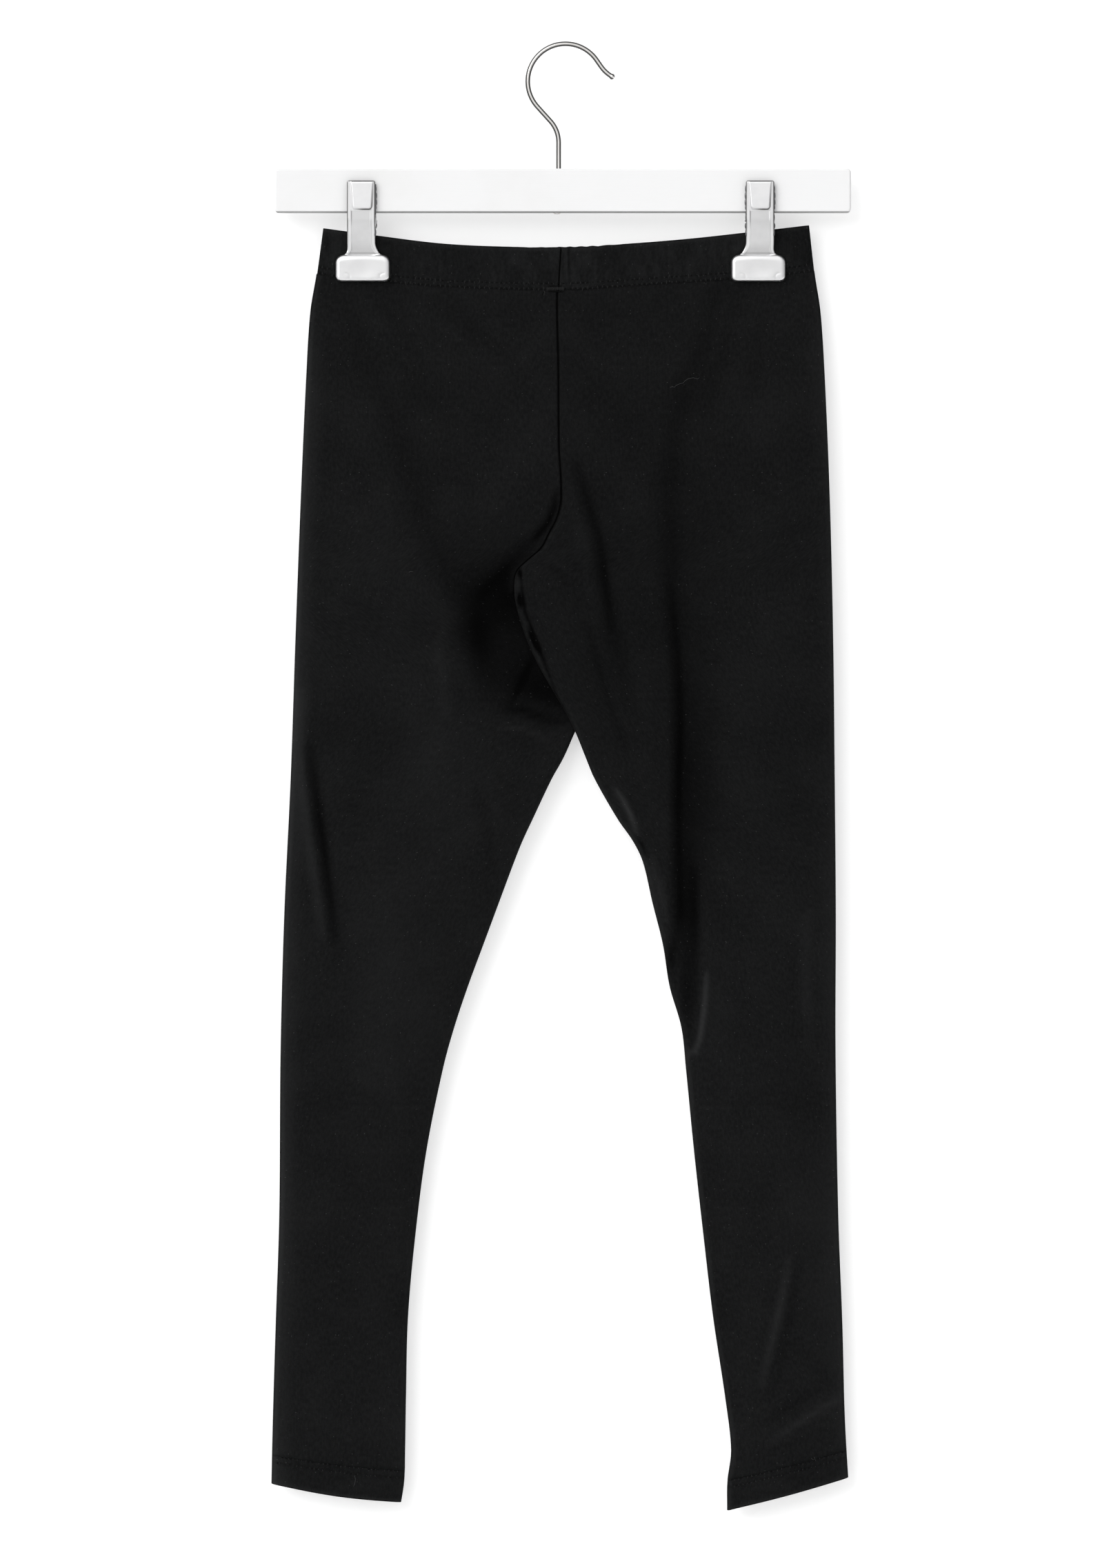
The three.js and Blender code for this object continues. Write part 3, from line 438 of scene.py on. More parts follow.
def crease_relief(creases, x, drop):
    """Each crease swells in from its first point and dies away at its last, with the painted shade in a trough
    and the painted highlight on a ridge.
    """
    height, tone = 0, 0
    for crease in creases:
        low_x, high_x, low_drop, high_drop = crease["reach"]
        if not (low_x < x < high_x and low_drop < drop < high_drop):
            continue
        nearest, fade, walked = 1e9, 0, 0
        for (ax, ad), (bx, bd), length in crease["parts"]:
            t = clamp(((x - ax) * (bx - ax) + (drop - ad) * (bd - ad)) / length**2)
            distance = math.hypot(x - lerp(ax, bx, t), drop - lerp(ad, bd, t))
            if distance < nearest:
                nearest = distance
                share = (walked + t * length) / crease["length"]
                fade = math.sin(math.pi * clamp(0.08 + 0.84 * share)) ** 0.5
            walked += length
        share = fade * bump_at(nearest, crease["width"])
        height += crease["height"] * share
        tone += crease["tone"] * share
    return height, tone


def prepared(leg, side):
    """The creases of one side of a leg, with their parts and their reach worked out."""
    found = []
    for crease in CREASES[leg, side]:
        path, room = crease["path"], 3 * crease["width"]
        parts = [(a, b, math.dist(a, b)) for a, b in zip(path, path[1:])]
        xs, drops = [p[0] for p in path], [p[1] for p in path]
        reach = (min(xs) - room, max(xs) + room, min(drops) - room, max(drops) + room)
        found.append(dict(crease, parts=parts, length=sum(p[2] for p in parts), reach=reach))
    return found


PREPARED = {(leg, side): prepared(leg, side) for leg, side in CREASES}


def waist_drop(side, x):
    """The waistband's upper edge, which sags a little at the back."""
    return waist_edge(x) + (BAND_BACK_SAG * smooth((110 - abs(x)) / 110) if side == BACK else 0)


def band_seam_drop(side, x):
    return waist_drop(side, x) + BAND_HEIGHT + BAND_EXTRA_AT_ENDS * smooth((abs(x) - 60) / 110)


def hem_drop(leg, line, across):
    """The drop of a hem's seam or edge at a share of the way across."""
    hem = HEMS[leg]
    level = lerp(hem["inner_" + line], hem["outer_" + line], across)
    return level + hem[line + "_bow"] * math.sin(math.pi * across)


# Places across one side of a piece: close together at the inner edge and round the outer fold.
INNER_FINE = 12


def places_across(fine, flat, fold):
    inner = [("inner", (i / fine) ** 1.6) for i in range(fine)]
    middle = [("flat", i / flat) for i in range(flat)]
    outer = [("outer", 1 - i / fold) for i in range(fold + 1)]
    return inner + middle + outer


def from_inner(place, width):
    zone, t = place
    if zone == "inner":
        return INNER_FINE * t
    if zone == "flat":
        return lerp(INNER_FINE, width - FOLD_RADIUS, t)
    return width - FOLD_RADIUS * (1 - math.cos(t * QUARTER_TURN))


def cloth_noise(x, drop, side):
    """The slow unevenness of hanging jersey, and its fine ripples."""
    slow = noise.noise(Vector((x / 60, drop / 95, side * 7.3)))
    fine = noise.noise(Vector((x / 14, drop / 30, side * 3.1 + 20)))
    return 0.75 * slow + 0.16 * fine


def leg_point(leg, side, place, drop):
    """A point on the outside of a leg, its distance across it, the width there and the painted shade and
    highlight there.
    """
    inner = inner_edge(leg, side, drop)
    outer = OUTER[leg](drop)
    width = abs(outer - inner)
    near = from_inner(place, width)
    far = width - near
    x = inner + leg * near

    leg_share = smooth((drop - OVERLAP_START) / 80)
    swell = lerp(EDGE_DEPTH_SHARE, 1, smooth(far / SWELL))
    swell *= lerp(1, lerp(EDGE_DEPTH_SHARE, 1, smooth(near / SWELL)), leg_share)
    released = smooth((drop - band_seam_drop(side, x)) / CLIP_RELEASE)
    depth = lerp(band_half(x) - 0.15, full_depth(drop) * swell, released)
    folds, tone = fold_relief(leg, side, x, drop)
    slow = cloth_noise(x, drop, side) * released
    depth += (folds + slow) * min(1, far / 12)
    # The slow unevenness gets painted shade in its hollows and a painted highlight on its swells.
    tone += slow * 0.16

    share, passed, eased = overlap_at(drop)
    covered = lerp(lerp(full_depth(drop), COVERED_DEPTH, share), -LAYER_GAP, passed)
    if side == (FRONT if leg == LEFT else BACK):
        clear = EDGE[RIGHT](drop) - x if leg == LEFT else x - EDGE[LEFT](drop)
        hollow = share * (1 - smooth((clear - COVER_MARGIN) / COVER_RAMP))
        passing = lerp(passed, eased, smooth(clear / 12))
        in_hollow = lerp(lerp(full_depth(drop), COVERED_DEPTH, share), -LAYER_GAP, passing)
        depth = lerp(depth, in_hollow, hollow)
        in_shade = smooth((drop - HOLLOW_FROM) / 44) * (1 - smooth((drop - HOLLOW_TO) / 28))
        tone -= HOLLOW_SHADE * hollow * in_shade
    hollows, hollow_tone = hollow_relief(leg, side, x, drop)
    creases, crease_tone = crease_relief(PREPARED[leg, side], x, drop)
    depth += (hollows + creases) * min(1, far / 6) * min(1, near / 1.5)
    tone += hollow_tone + crease_tone

    closing = clamp((drop - (CROTCH_DROP - SEAM_CLOSING)) / SEAM_CLOSING)
    seam_depth = side * min(depth, covered) * math.sqrt(1 - closing**2)
    tip = -leg * (full_depth(drop) * EDGE_DEPTH_SHARE / 2 + LAYER_GAP) * passed
    at_edge = seam_depth if drop < CROTCH_DROP else tip
    plain = side * depth * dome(far / FOLD_RADIUS)
    y = lerp(at_edge, plain, dome(near / FOLD_RADIUS))

    # The seams sink: along the rise, under the waistband and above the hem.
    from_seam = dict(
        rise=near,
        under_band=drop - band_seam_drop(side, x),
        at_hem=drop - hem_drop(leg, "seam", near / width),
    )
    for name, seam in SEAMS.items():
        share = bump_at(from_seam[name], seam["width"])
        if name == "rise":
            share *= 1 - smooth((drop - RISE_FADES[0]) / (RISE_FADES[1] - RISE_FADES[0]))
        y -= side * seam["sink"] * share * dome(far / FOLD_RADIUS)
        tone -= seam["dark"] * share
    # Painted highlight where the folds catch the light a little way in, stronger on the left leg, and painted
    # shade at the very edge.
    tone += 0.22 * bump_at(far - 2.2, 1.5) + 0.2 * bump_at(near - 2.2, 1.5) * leg_share
    tone += (0.3 if leg == LEFT else 0.12) * bump_at(far - 2, 9) * released
    tone -= 0.7 * bump_at(far, 0.8) + 0.5 * bump_at(near, 0.6) * smooth((drop - CROTCH_DROP) / 20)
    return Vector((GARMENT_X + x, y, WAIST_Z - drop)), near, width, tone


def band_point(leg, side, place, down):
    """A point on the outside of the waistband. down is in millimetres at the middle of the front."""
    share = down / BAND_HEIGHT
    width = abs(OUTER[leg](share * BAND_HEIGHT))
    middle = from_inner(place, width)
    far = width - middle
    x = leg * middle
    top, seam = waist_drop(side, x), band_seam_drop(side, x)
    drop = lerp(top, seam, share)
    above_seam = seam - drop
    gather = noise.noise(Vector((x / 3.4, above_seam / 16, side * 5.0)))
    slow = noise.noise(Vector((x / 30, above_seam / 40, side * 9.0)))
    half = band_half(x)
    free = smooth((half - BAND_HALF_AT_CLIP) / 1.5)
    depth = half + (0.16 * gather * bump_at(above_seam - 4, 9) + 0.5 * slow) * lerp(0.15, 1, free)
    depth -= ROW_SINK * bump_at(above_seam - BAND_STITCH_ROWS[1], ROW_WIDTH)
    depth -= ROW_SINK * bump_at(above_seam, 1.0)
    # Painted shade and highlight on the gathers and the slow unevenness, a painted highlight just below the
    # upper edge, and painted shade at the very edge and along the lower seam.
    tone = 0.3 * gather * smooth((drop - top) / 6) * bump_at(above_seam - 14, 16) + 0.22 * slow - 0.04
    at_edge = 0.22 * bump_at(drop - top - 1.6, 1.2) - 0.5 * bump_at(drop - top, 0.5)
    tone += at_edge - 0.12 * bump_at(above_seam, 0.8)
    if side == FRONT:
        seam = bump_at(x - lerp(0.8, -1.1, share), BAND_SEAM["width"])
        tuck = bump_at(x - BAND_TUCK["x"], BAND_TUCK["width"]) * (1 - smooth((share - BAND_TUCK["ends"]) / 0.15))
        depth -= BAND_SEAM["sink"] * seam + BAND_TUCK["sink"] * tuck
        tone -= BAND_SEAM["front_dark"] * seam + BAND_TUCK["dark"] * tuck
        drop += 0.9 * noise.noise(Vector((x / 5, 4.2, 0))) * bump_at(x - 10, 34) * (1 - share)
    else:
        seam = bump_at(x, BAND_SEAM["width"])
        depth -= BAND_SEAM["sink"] * seam
        tone -= BAND_SEAM["back_dark"] * seam
    y = side * depth * dome(far / BAND_HALF_AT_END)
    return Vector((GARMENT_X + x, y, WAIST_Z - drop)), middle, width, tone


def hem_point(leg, side, place, share):
    """A point on the outside of a hem, from its seam at 0 to its folded edge at 1."""
    width = abs(OUTER[leg](HEM_WIDTH_DROP) - EDGE[leg](HEM_WIDTH_DROP))
    across = from_inner(place, width) / width
    top, foot = hem_drop(leg, "seam", across), hem_drop(leg, "edge", across)
    drop = lerp(top, foot, share)
    point, near, width, tone = leg_point(leg, side, place, drop)
    below = drop - top
    sink = ROW_SINK * bump_at(below - HEM_STITCH_ROWS[1], ROW_WIDTH)
    gather = 0.14 * noise.noise(Vector((near / 3.0, below / 14, leg * 5 + side)))
    y_share = min(1, near / 6, (width - near) / 6)
    point.y += side * (gather * bump_at(below - 3, 8) - sink) * y_share
    # Painted shade and highlight on the gathers, painted shade along the lower stitch row and at the folded
    # edge, and a painted highlight just inside that edge.
    tone += 0.3 * gather - 0.15 * bump_at(below - HEM_STITCH_ROWS[1], 1.2)
    tone += 0.3 * bump_at(foot - drop - 1.4, 1.0) - 0.4 * bump_at(foot - drop, 0.5)
    return point, near, width, tone


def new_object(name, bm, material, body="root"):
    mesh = bpy.data.meshes.new(name)
    bm.to_mesh(mesh)
    bm.free()
    for polygon in mesh.polygons:
        polygon.use_smooth = True
    piece = bpy.data.objects.new(name, mesh)
    bpy.context.scene.collection.objects.link(piece)
    mesh.materials.append(material)
    if body:
        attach(piece, body)
    return piece


def cloth_piece(name, point_at, columns, rows, wall, material, closed_from=0):
    """A wall of cloth: a grid, placed point by point, joined into a ring from one row on, then thickened.

    columns are (leg, side, place), once round the piece. point_at gives a point for a column and a row."""
    bm = bmesh.new()
    last_column, last_row = len(columns) - 1, len(rows) - 1
    bmesh.ops.create_grid(bm, x_segments=last_column, y_segments=last_row, size=0.5)
    layer = bm.loops.layers.uv.new("cloth")
    painted_light = bm.verts.layers.float.new("painted_light")
    on_cloth = {}
    ends = []
    for vert in bm.verts:
        column = round((vert.co.x + 0.5) * last_column)
        row = round((vert.co.y + 0.5) * last_row)
        leg, side, place = columns[column]
        point, near, width, tone = point_at(leg, side, place, rows[row])
        # Each point keeps its painted shade and highlight.
        vert[painted_light] = tone
        on_cloth[vert] = ((near if side == FRONT else 2 * width - near) * MM, (point.z - WAIST_Z) * MM)
        vert.co = point * MM
        if column in (0, last_column) and row >= closed_from:
            ends.append(vert)
    for face in bm.faces:
        for loop in face.loops:
            loop[layer].uv = on_cloth[loop.vert]
    bmesh.ops.remove_doubles(bm, verts=ends, dist=0.00001)
    bm.normal_update()
    outward = sum(face.normal.y * math.copysign(1, face.calc_center_median().y) for face in bm.faces)
    if outward < 0:
        bmesh.ops.reverse_faces(bm, faces=bm.faces)
    piece = new_object(name, bm, material)
    thicken = piece.modifiers.new("wall", "SOLIDIFY")
    thicken.thickness = wall * MM
    thicken.offset = -1
    return piece


def columns_round(leg, front_places, back_places):
    """Once round a leg, from the front seam over the outer fold to the back seam."""
    front = [(leg, FRONT, place) for place in front_places]
    back = [(leg, BACK, place) for place in reversed(back_places)]
    return front + back[1:]


class Wire:
    """A shader socket in Python arithmetic."""

    def __init__(self, made_in, socket):
        self.made_in, self.socket = made_in, socket

    def _maths(self, operation, *values):
        node = self.made_in.node("ShaderNodeMath", {"operation": operation}, dict(enumerate(values)))
        return Wire(self.made_in, node.outputs[0])

    def __add__(self, other):
        return self._maths("ADD", self, other)

    def __sub__(self, other):
        return self._maths("SUBTRACT", self, other)

    def __mul__(self, other):
        return self._maths("MULTIPLY", self, other)

    __radd__ = __add__

    def __rsub__(self, other):
        return self._maths("SUBTRACT", other, self)

    def sine(self):
        return self._maths("SINE", self)

    def size(self):
        return self._maths("ABSOLUTE", self)

    def power(self, exponent):
        return self._maths("POWER", self, exponent)

    def share_of(self, full):
        """0 up to 0, then straight up to 1 at full."""
        node = self.made_in.node("ShaderNodeMapRange", values={"Value": self, "From Max": full})
        return Wire(self.made_in, node.outputs["Result"])

    def above(self, limit):
        return self._maths("GREATER_THAN", self, limit)

    def ramp(self, low, high):
        """0 at low, 1 at high."""
        values = {"Value": self, "From Min": low, "From Max": high}
        node = self.made_in.node("ShaderNodeMapRange", {"interpolation_type": "SMOOTHSTEP"}, values)
        return Wire(self.made_in, node.outputs["Result"])


class Nodes:
    """A node tree, built node by node."""

    def __init__(self, tree):
        self.tree = tree

    def node(self, kind, settings=None, values=None):
        node = self.tree.nodes.new(kind)
        for name, value in (settings or {}).items():
            setattr(node, name, value)
        for socket, value in (values or {}).items():
            target = node.inputs[socket]
            if isinstance(value, Wire):
                self.tree.links.new(value.socket, target)
            elif isinstance(value, bpy.types.NodeSocket):
                self.tree.links.new(value, target)
            else:
                target.default_value = value
        return node

    def noise(self, vector, scale, detail=2.0, roughness=0.5):
        values = {"Vector": vector, "Scale": scale, "Detail": detail, "Roughness": roughness}
        return Wire(self, self.node("ShaderNodeTexNoise", values=values).outputs["Fac"])

    def stretched(self, vector, scale):
        return self.node("ShaderNodeMapping", values={"Vector": vector, "Scale": scale}).outputs["Vector"]

    def split(self, vector):
        node = self.node("ShaderNodeSeparateXYZ", values={"Vector": vector})
        return [Wire(self, output) for output in node.outputs]

    def mixed(self, share, first, second):
        node = self.node("ShaderNodeMix", {"data_type": "RGBA"}, {"Factor": share, 6: first, 7: second})
        return Wire(self, node.outputs[2])

    def bump(self, height, distance, strength):
        values = {"Height": height, "Distance": distance, "Strength": strength}
        return Wire(self, self.node("ShaderNodeBump", values=values).outputs["Normal"])


class Finish(Nodes):
    """A material."""

    def __init__(self, name, **constants):
        self.material = bpy.data.materials.new(name)
        self.material.use_nodes = True
        super().__init__(self.material.node_tree)
        self.shader = self.tree.nodes["Principled BSDF"]
        for socket, value in constants.items():
            self.shader.inputs[socket.replace("_", " ")].default_value = value
        coordinates = self.tree.nodes.new("ShaderNodeTexCoord")
        self.place = coordinates.outputs["Object"]
        self.surface = coordinates.outputs["UV"]

    def painted_light(self):
        """The painted light kept on the mesh: painted shade below 0, as in a trough, and a painted highlight
        above 0, as on a ridge.
        """
        node = self.node("ShaderNodeAttribute", {"attribute_name": "painted_light"})
        return Wire(self, node.outputs["Fac"])

    def set(self, **links):
        for socket, value in links.items():
            target = self.shader.inputs[socket.replace("_", " ")]
            self.tree.links.new(value.socket, target)
        return self.material


def lint_on(finish, scale, radius, share):
    """Pale specks scattered one to a cell, in a share of the cells."""
    values = {"Vector": finish.stretched(finish.surface, scale), "Scale": 1.0}
    cells = finish.node("ShaderNodeTexVoronoi", {"voronoi_dimensions": "2D", "feature": "F1"}, values)
    chance = finish.node("ShaderNodeSeparateColor", values={0: cells.outputs["Color"]})
    near = 1 - Wire(finish, cells.outputs["Distance"]).ramp(radius * 0.5, radius)
    chosen, brightness = (Wire(finish, chance.outputs[i]) for i in (0, 1))
    return near * chosen.above(1 - share) * brightness.power(2.5)


def jersey_finish(name, wale=0.0009):
    """Matt black cotton jersey: heathered yarn, fine wales, and a few specks of pale lint."""
    finish = Finish(name, Sheen_Weight=0.012, Sheen_Roughness=0.5, Specular_IOR_Level=0.03)
    across, down, _ = finish.split(finish.surface)
    wales = (across * (2 * math.pi / wale)).sine() * 0.5 + 0.5
    courses = (down * (2 * math.pi / (wale * 0.8)) + across * 900).sine() * 0.5 + 0.5
    yarn = finish.noise(finish.surface, 1400, 3, 0.6)
    heather = finish.noise(finish.stretched(finish.surface, (1, 0.55, 1)), 520, 4, 0.7)
    wash = finish.noise(finish.surface, 26, 3, 0.55)
    tone = heather.ramp(0.34, 0.68) * 0.7 + wash.ramp(0.3, 0.72) * 0.3
    cloth = finish.mixed(tone, CLOTH_DARK, CLOTH_LIGHT)
    # Painted shade in the troughs and a painted highlight on the ridges, from the painted light kept on the
    # mesh.
    painted_light = finish.painted_light()
    cloth = finish.mixed((painted_light * -1).share_of(1.0) * 0.95, cloth, CLOTH_PAINTED_SHADE)
    cloth = finish.mixed(painted_light.share_of(1.0) * 0.9, cloth, CLOTH_PAINTED_HIGHLIGHT)
    specks = lint_on(finish, (150, 150, 1), 0.055, 0.3)
    fibres = lint_on(finish, (150, 380, 1), 0.09, 0.08) + lint_on(finish, (380, 150, 1), 0.09, 0.08)
    colour = finish.mixed((specks + fibres) * 0.13, cloth, LINT_PALE)
    height = wales * 0.35 + courses * 0.2 + yarn * 0.6 + heather * 0.8
    normal = finish.bump(height, 0.00025, 0.6)
    return finish.set(Base_Color=colour, Roughness=0.86 + yarn * 0.12, Normal=normal)


def thread_finish(name, colour):
    """Dull plied thread."""
    finish = Finish(name, Sheen_Weight=0.02, Specular_IOR_Level=0.06)
    ply = finish.noise(finish.place, 2600, 2, 0.5)
    shade = finish.mixed(ply, colour, tuple(c * 1.8 for c in colour[:3]) + (1,))
    return finish.set(Base_Color=shade, Roughness=0.65 + ply * 0.2, Normal=finish.bump(ply, 0.00012, 0.5))


def paint_finish(name):
    """White satin paint on wood: faint brush lines, a little grime, and painted shade on the rims."""
    finish = Finish(name, Specular_IOR_Level=0.4, Coat_Roughness=0.3)
    brush = finish.noise(finish.stretched(finish.place, (6, 90, 160)), 9, 4, 0.6)
    grime = finish.noise(finish.place, 14, 4, 0.6)
    colour = finish.mixed(grime.ramp(0.45, 0.8) * 0.5 + brush * 0.25, PAINT_CLEAN, PAINT_GRIMY)
    # Painted shade on the rims.
    colour = finish.mixed((finish.painted_light() * -1).ramp(0, 1), colour, PAINT_RIM_SHADE)
    normal = finish.bump(brush, 0.0002, 0.25)
    return finish.set(Base_Color=colour, Roughness=0.38 + grime * 0.18, Normal=normal)


def metal_finish(name, bright, dull, roughness):
    """Plated steel, finely brushed and a little smudged."""
    finish = Finish(name, Metallic=1.0)
    brushed = finish.noise(finish.stretched(finish.place, (30, 30, 400)), 12, 5, 0.65)
    smudge = finish.noise(finish.place, 55, 3, 0.55)
    colour = finish.mixed(smudge.ramp(0.35, 0.75), bright, dull)
    colour = finish.mixed((finish.painted_light() * -1).ramp(0, 1), colour, STEEL_IN_SHADE)
    normal = finish.bump(brushed, 0.00006, 0.35)
    return finish.set(Base_Color=colour, Roughness=roughness + smudge * 0.12 + brushed * 0.05, Normal=normal)


CLOTH_DARK = (0.0042, 0.0044, 0.0045, 1)
CLOTH_LIGHT = (0.0092, 0.0095, 0.0096, 1)
# Below: the painted shade of the troughs, then the painted highlight of the ridges.
CLOTH_PAINTED_SHADE = (0.0002, 0.0002, 0.0002, 1)
CLOTH_PAINTED_HIGHLIGHT = (0.0245, 0.025, 0.0255, 1)
LINT_PALE = (0.3, 0.3, 0.3, 1)
# The last of these is the painted shade on the bar's rims.
PAINT_CLEAN, PAINT_GRIMY, PAINT_RIM_SHADE = (0.77, 0.77, 0.775, 1), (0.71, 0.708, 0.7, 1), (0.33, 0.33, 0.33, 1)
STEEL_IN_SHADE = (0.075, 0.074, 0.072, 1)
jersey = jersey_finish("black_jersey")
band_jersey = jersey_finish("black_jersey_band", 0.0011)
thread = thread_finish("black_thread", (0.013, 0.013, 0.013, 1))
# The needle holes are near-black: the painted shade in the holes.
needle_hole = thread_finish("needle_holes", (0.0003, 0.0003, 0.0003, 1))
lint_hair = thread_finish("lint", (0.045, 0.045, 0.045, 1))
paint = paint_finish("white_paint")
bright_steel = metal_finish("bright_wire", (0.86, 0.84, 0.82, 1), (0.74, 0.72, 0.7, 1), 0.2)
satin_steel = metal_finish("satin_nickel", (0.88, 0.88, 0.885, 1), (0.8, 0.8, 0.805, 1), 0.24)
dark_steel = metal_finish("spring_steel", (0.17, 0.17, 0.175, 1), (0.11, 0.11, 0.115, 1), 0.35)

# The legs.
SEAM_TOP = BAND_HEIGHT + waist_edge(0)
ROW_PITCH = 4.2
EDGE_ROWS = [0, 0.4, 1.0, 1.8, 3.0, 4.6]


def leg_rows(leg):
    """Heights of the rows of a leg at its inner edge, closer together at both ends and about the crotch."""
    foot = hem_drop(leg, "seam", 0)
    rows = [SEAM_TOP + extra for extra in EDGE_ROWS]
    while rows[-1] < CROTCH_DROP - 24 - ROW_PITCH:
        rows.append(rows[-1] + ROW_PITCH)
    rows += [CROTCH_DROP + 1.6 * i for i in range(-14, 0)] + [CROTCH_DROP]
    rows += [CROTCH_DROP + extra for extra in (0.8, 1.6, 2.6, 4, 5.6, 7.4, 9.4, 11.6, 14)]
    last = foot - EDGE_ROWS[-1]
    count = round((last - rows[-1]) / ROW_PITCH)
    start = rows[-1]
    rows += [lerp(start, last, i / count) for i in range(1, count)]
    return rows + [foot - extra for extra in reversed(EDGE_ROWS)]


def leg_cloth_point(leg, side, place, line):
    """A point of a leg's grid, whose rows follow the band seam above and the hem seam below."""
    foot = hem_drop(leg, "seam", 0)
    width = abs(OUTER[leg](line) - inner_edge(leg, side, line))
    near = from_inner(place, width)
    if line <= CROTCH_DROP:
        top = band_seam_drop(side, inner_edge(leg, side, line) + leg * near) + 0.05
        drop = lerp(top, CROTCH_DROP, (line - SEAM_TOP) / (CROTCH_DROP - SEAM_TOP))
    else:
        bottom = hem_drop(leg, "seam", near / width)
        drop = lerp(CROTCH_DROP, bottom, (line - CROTCH_DROP) / (foot - CROTCH_DROP))
    return leg_point(leg, side, place, drop)


FRONT_PLACES = places_across(16, 100, 6)
BACK_PLACES = places_across(12, 52, 6)
SIDE_NAMES = {LEFT: "left", RIGHT: "right"}
for leg, hand in SIDE_NAMES.items():
    rows = leg_rows(leg)
    columns = columns_round(leg, FRONT_PLACES, BACK_PLACES)
    crotch_row = rows.index(CROTCH_DROP)
    piece = cloth_piece(f"leg_{hand}_cloth", leg_cloth_point, columns, rows, LEG_WALL, jersey, crotch_row)
    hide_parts(f"leg_{hand}")

# The hems.
HEM_PLACES = places_across(14, 50, 6)
HEM_LINES = [0, 0.03, 0.08, 0.13, 0.17, 0.2, 0.225, 0.25, 0.28, 0.33, 0.4]
HEM_LINES += [0.5, 0.6, 0.7, 0.8, 0.88, 0.94, 0.98, 1]
hems = {}
for leg, hand in SIDE_NAMES.items():
    columns = columns_round(leg, HEM_PLACES, HEM_PLACES)
    piece = cloth_piece(f"hem_{hand}_cloth", hem_point, columns, HEM_LINES, HEM_WALL, band_jersey)
    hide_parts(f"hem_{hand}")
    hems[hand] = piece

# The waistband, once round from the middle of the front.
BAND_PLACES = places_across(26, 84, 7)
BAND_LINES = [0, 0.4, 1, 1.8, 2.8, 4, 5.5, 7.2, 9, 11, 13, 15, 17, 19, 21, 23, 24.6, 25.6]
BAND_LINES += [26.2, 26.6, 27, 27.4, 27.9, 28.5, 29.2, 29.8, 30.3, 30.7, BAND_HEIGHT]
band_columns = columns_round(LEFT, BAND_PLACES, BAND_PLACES)
band_columns += list(reversed(columns_round(RIGHT, BAND_PLACES, BAND_PLACES)))[1:]
waistband = cloth_piece("waistband_cloth", band_point, band_columns, BAND_LINES, BAND_WALL, band_jersey)
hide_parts("waistband")

for piece, width in [(waistband, 0.9), (hems["left"], 0.7), (hems["right"], 0.7)]:
    rounding = piece.modifiers.new("folded_edge", "BEVEL")
    rounding.width = width * MM
    rounding.segments = 3
    rounding.limit_method = "ANGLE"
    rounding.angle_limit = math.radians(50)
    rounding.use_clamp_overlap = True


# Stitches: a needle hole between each two lengths of thread, which the knit squeezes into upright ticks.
def places_along(point_at, columns, row, pitch):
    """Places at an even pitch along a line round a piece of cloth, each with its direction and side."""
    line = [(point_at(*column, row)[0], column[1]) for column in columns]
    found = []
    walked, target = 0.0, pitch / 2
    for (a, side), (b, _) in zip(line, line[1:]):
        step = (b - a).length
        while step > 0 and walked + step >= target:
            found.append((a.lerp(b, (target - walked) / step), (b - a).normalized(), side))
            target += pitch
        walked += step
    return found


GRAINS_IN_A_PART = 30


class Grains:
    """Many small grains, made a few dozen to a part, which is quick, and joined at the end."""

    def __init__(self):
        self.parts, self.count = [], 0

    def next_part(self):
        if self.count % GRAINS_IN_A_PART == 0:
            self.parts.append(bmesh.new())
        self.count += 1
        return self.parts[-1]

    def joined(self):
        whole = bmesh.new()
        for part in self.parts:
            mesh = bpy.data.meshes.new("grains")
            part.to_mesh(mesh)
            part.free()
            whole.from_mesh(mesh)
            bpy.data.meshes.remove(mesh)
        return whole


def lay_grain(grains, middle, direction, side, size, lift, finish_index=0):
    """A long low grain on the cloth. size is its length, its width and its height."""
    bm = grains.next_part()
    outward = Vector((0, side, 0))
    outward = (outward - direction * outward.dot(direction)).normalized()
    turn = Matrix((direction, direction.cross(outward), outward)).transposed().to_4x4()
    place = Matrix.Translation(middle + outward * lift) @ turn @ Matrix.Diagonal((*(s / 2 for s in size), 1))
    in_metres = Matrix.Scale(MM, 4) @ place
    made = bmesh.ops.create_uvsphere(bm, u_segments=6, v_segments=4, radius=1, matrix=in_metres)
    for face in {f for v in made["verts"] for f in v.link_faces}:
        face.material_index = finish_index


# No stitch is laid where the cloth turns this steeply round a fold, so that none stands out from the outline.
ROUND_THE_FOLD = 0.3


def sewn_row(grains, point_at, columns, row, rng, pitch, tick, hole_share):
    """One row of stitches, with needle holes in a share of the places. tick is the length of a tick."""
    for middle, direction, side in places_along(point_at, columns, row, pitch):
        if abs(direction.y) > ROUND_THE_FOLD:
            continue
        up = Vector((0, 0, 1))
        lean = (up + direction * rng.uniform(-0.35, 0.35)).normalized()
        length = tick * rng.choice((0.6, 0.8, 1.0, 1.0, 1.3, 1.7))
        shift = up * rng.uniform(-0.3, 0.3) * tick
        if rng.random() < 0.8:
            lay_grain(grains, middle + shift, lean, side, (length, 0.5, 0.5), 0.05, 0)
        hole = middle + direction * (pitch / 2 + rng.uniform(-0.2, 0.2))
        hole_size = (rng.uniform(1.1, 1.7), rng.uniform(0.8, 1.3), 0.36)
        if rng.random() < hole_share:
            lay_grain(grains, hole, lean, side, hole_size, 0.04, 1)


rng = random.Random(7)
grains = Grains()
ring = band_columns + band_columns[:1]
for above in BAND_STITCH_ROWS:
    sewn_row(grains, band_point, ring, BAND_HEIGHT - 0.6 - above, rng, pitch=3.6, tick=2.2, hole_share=0.9)


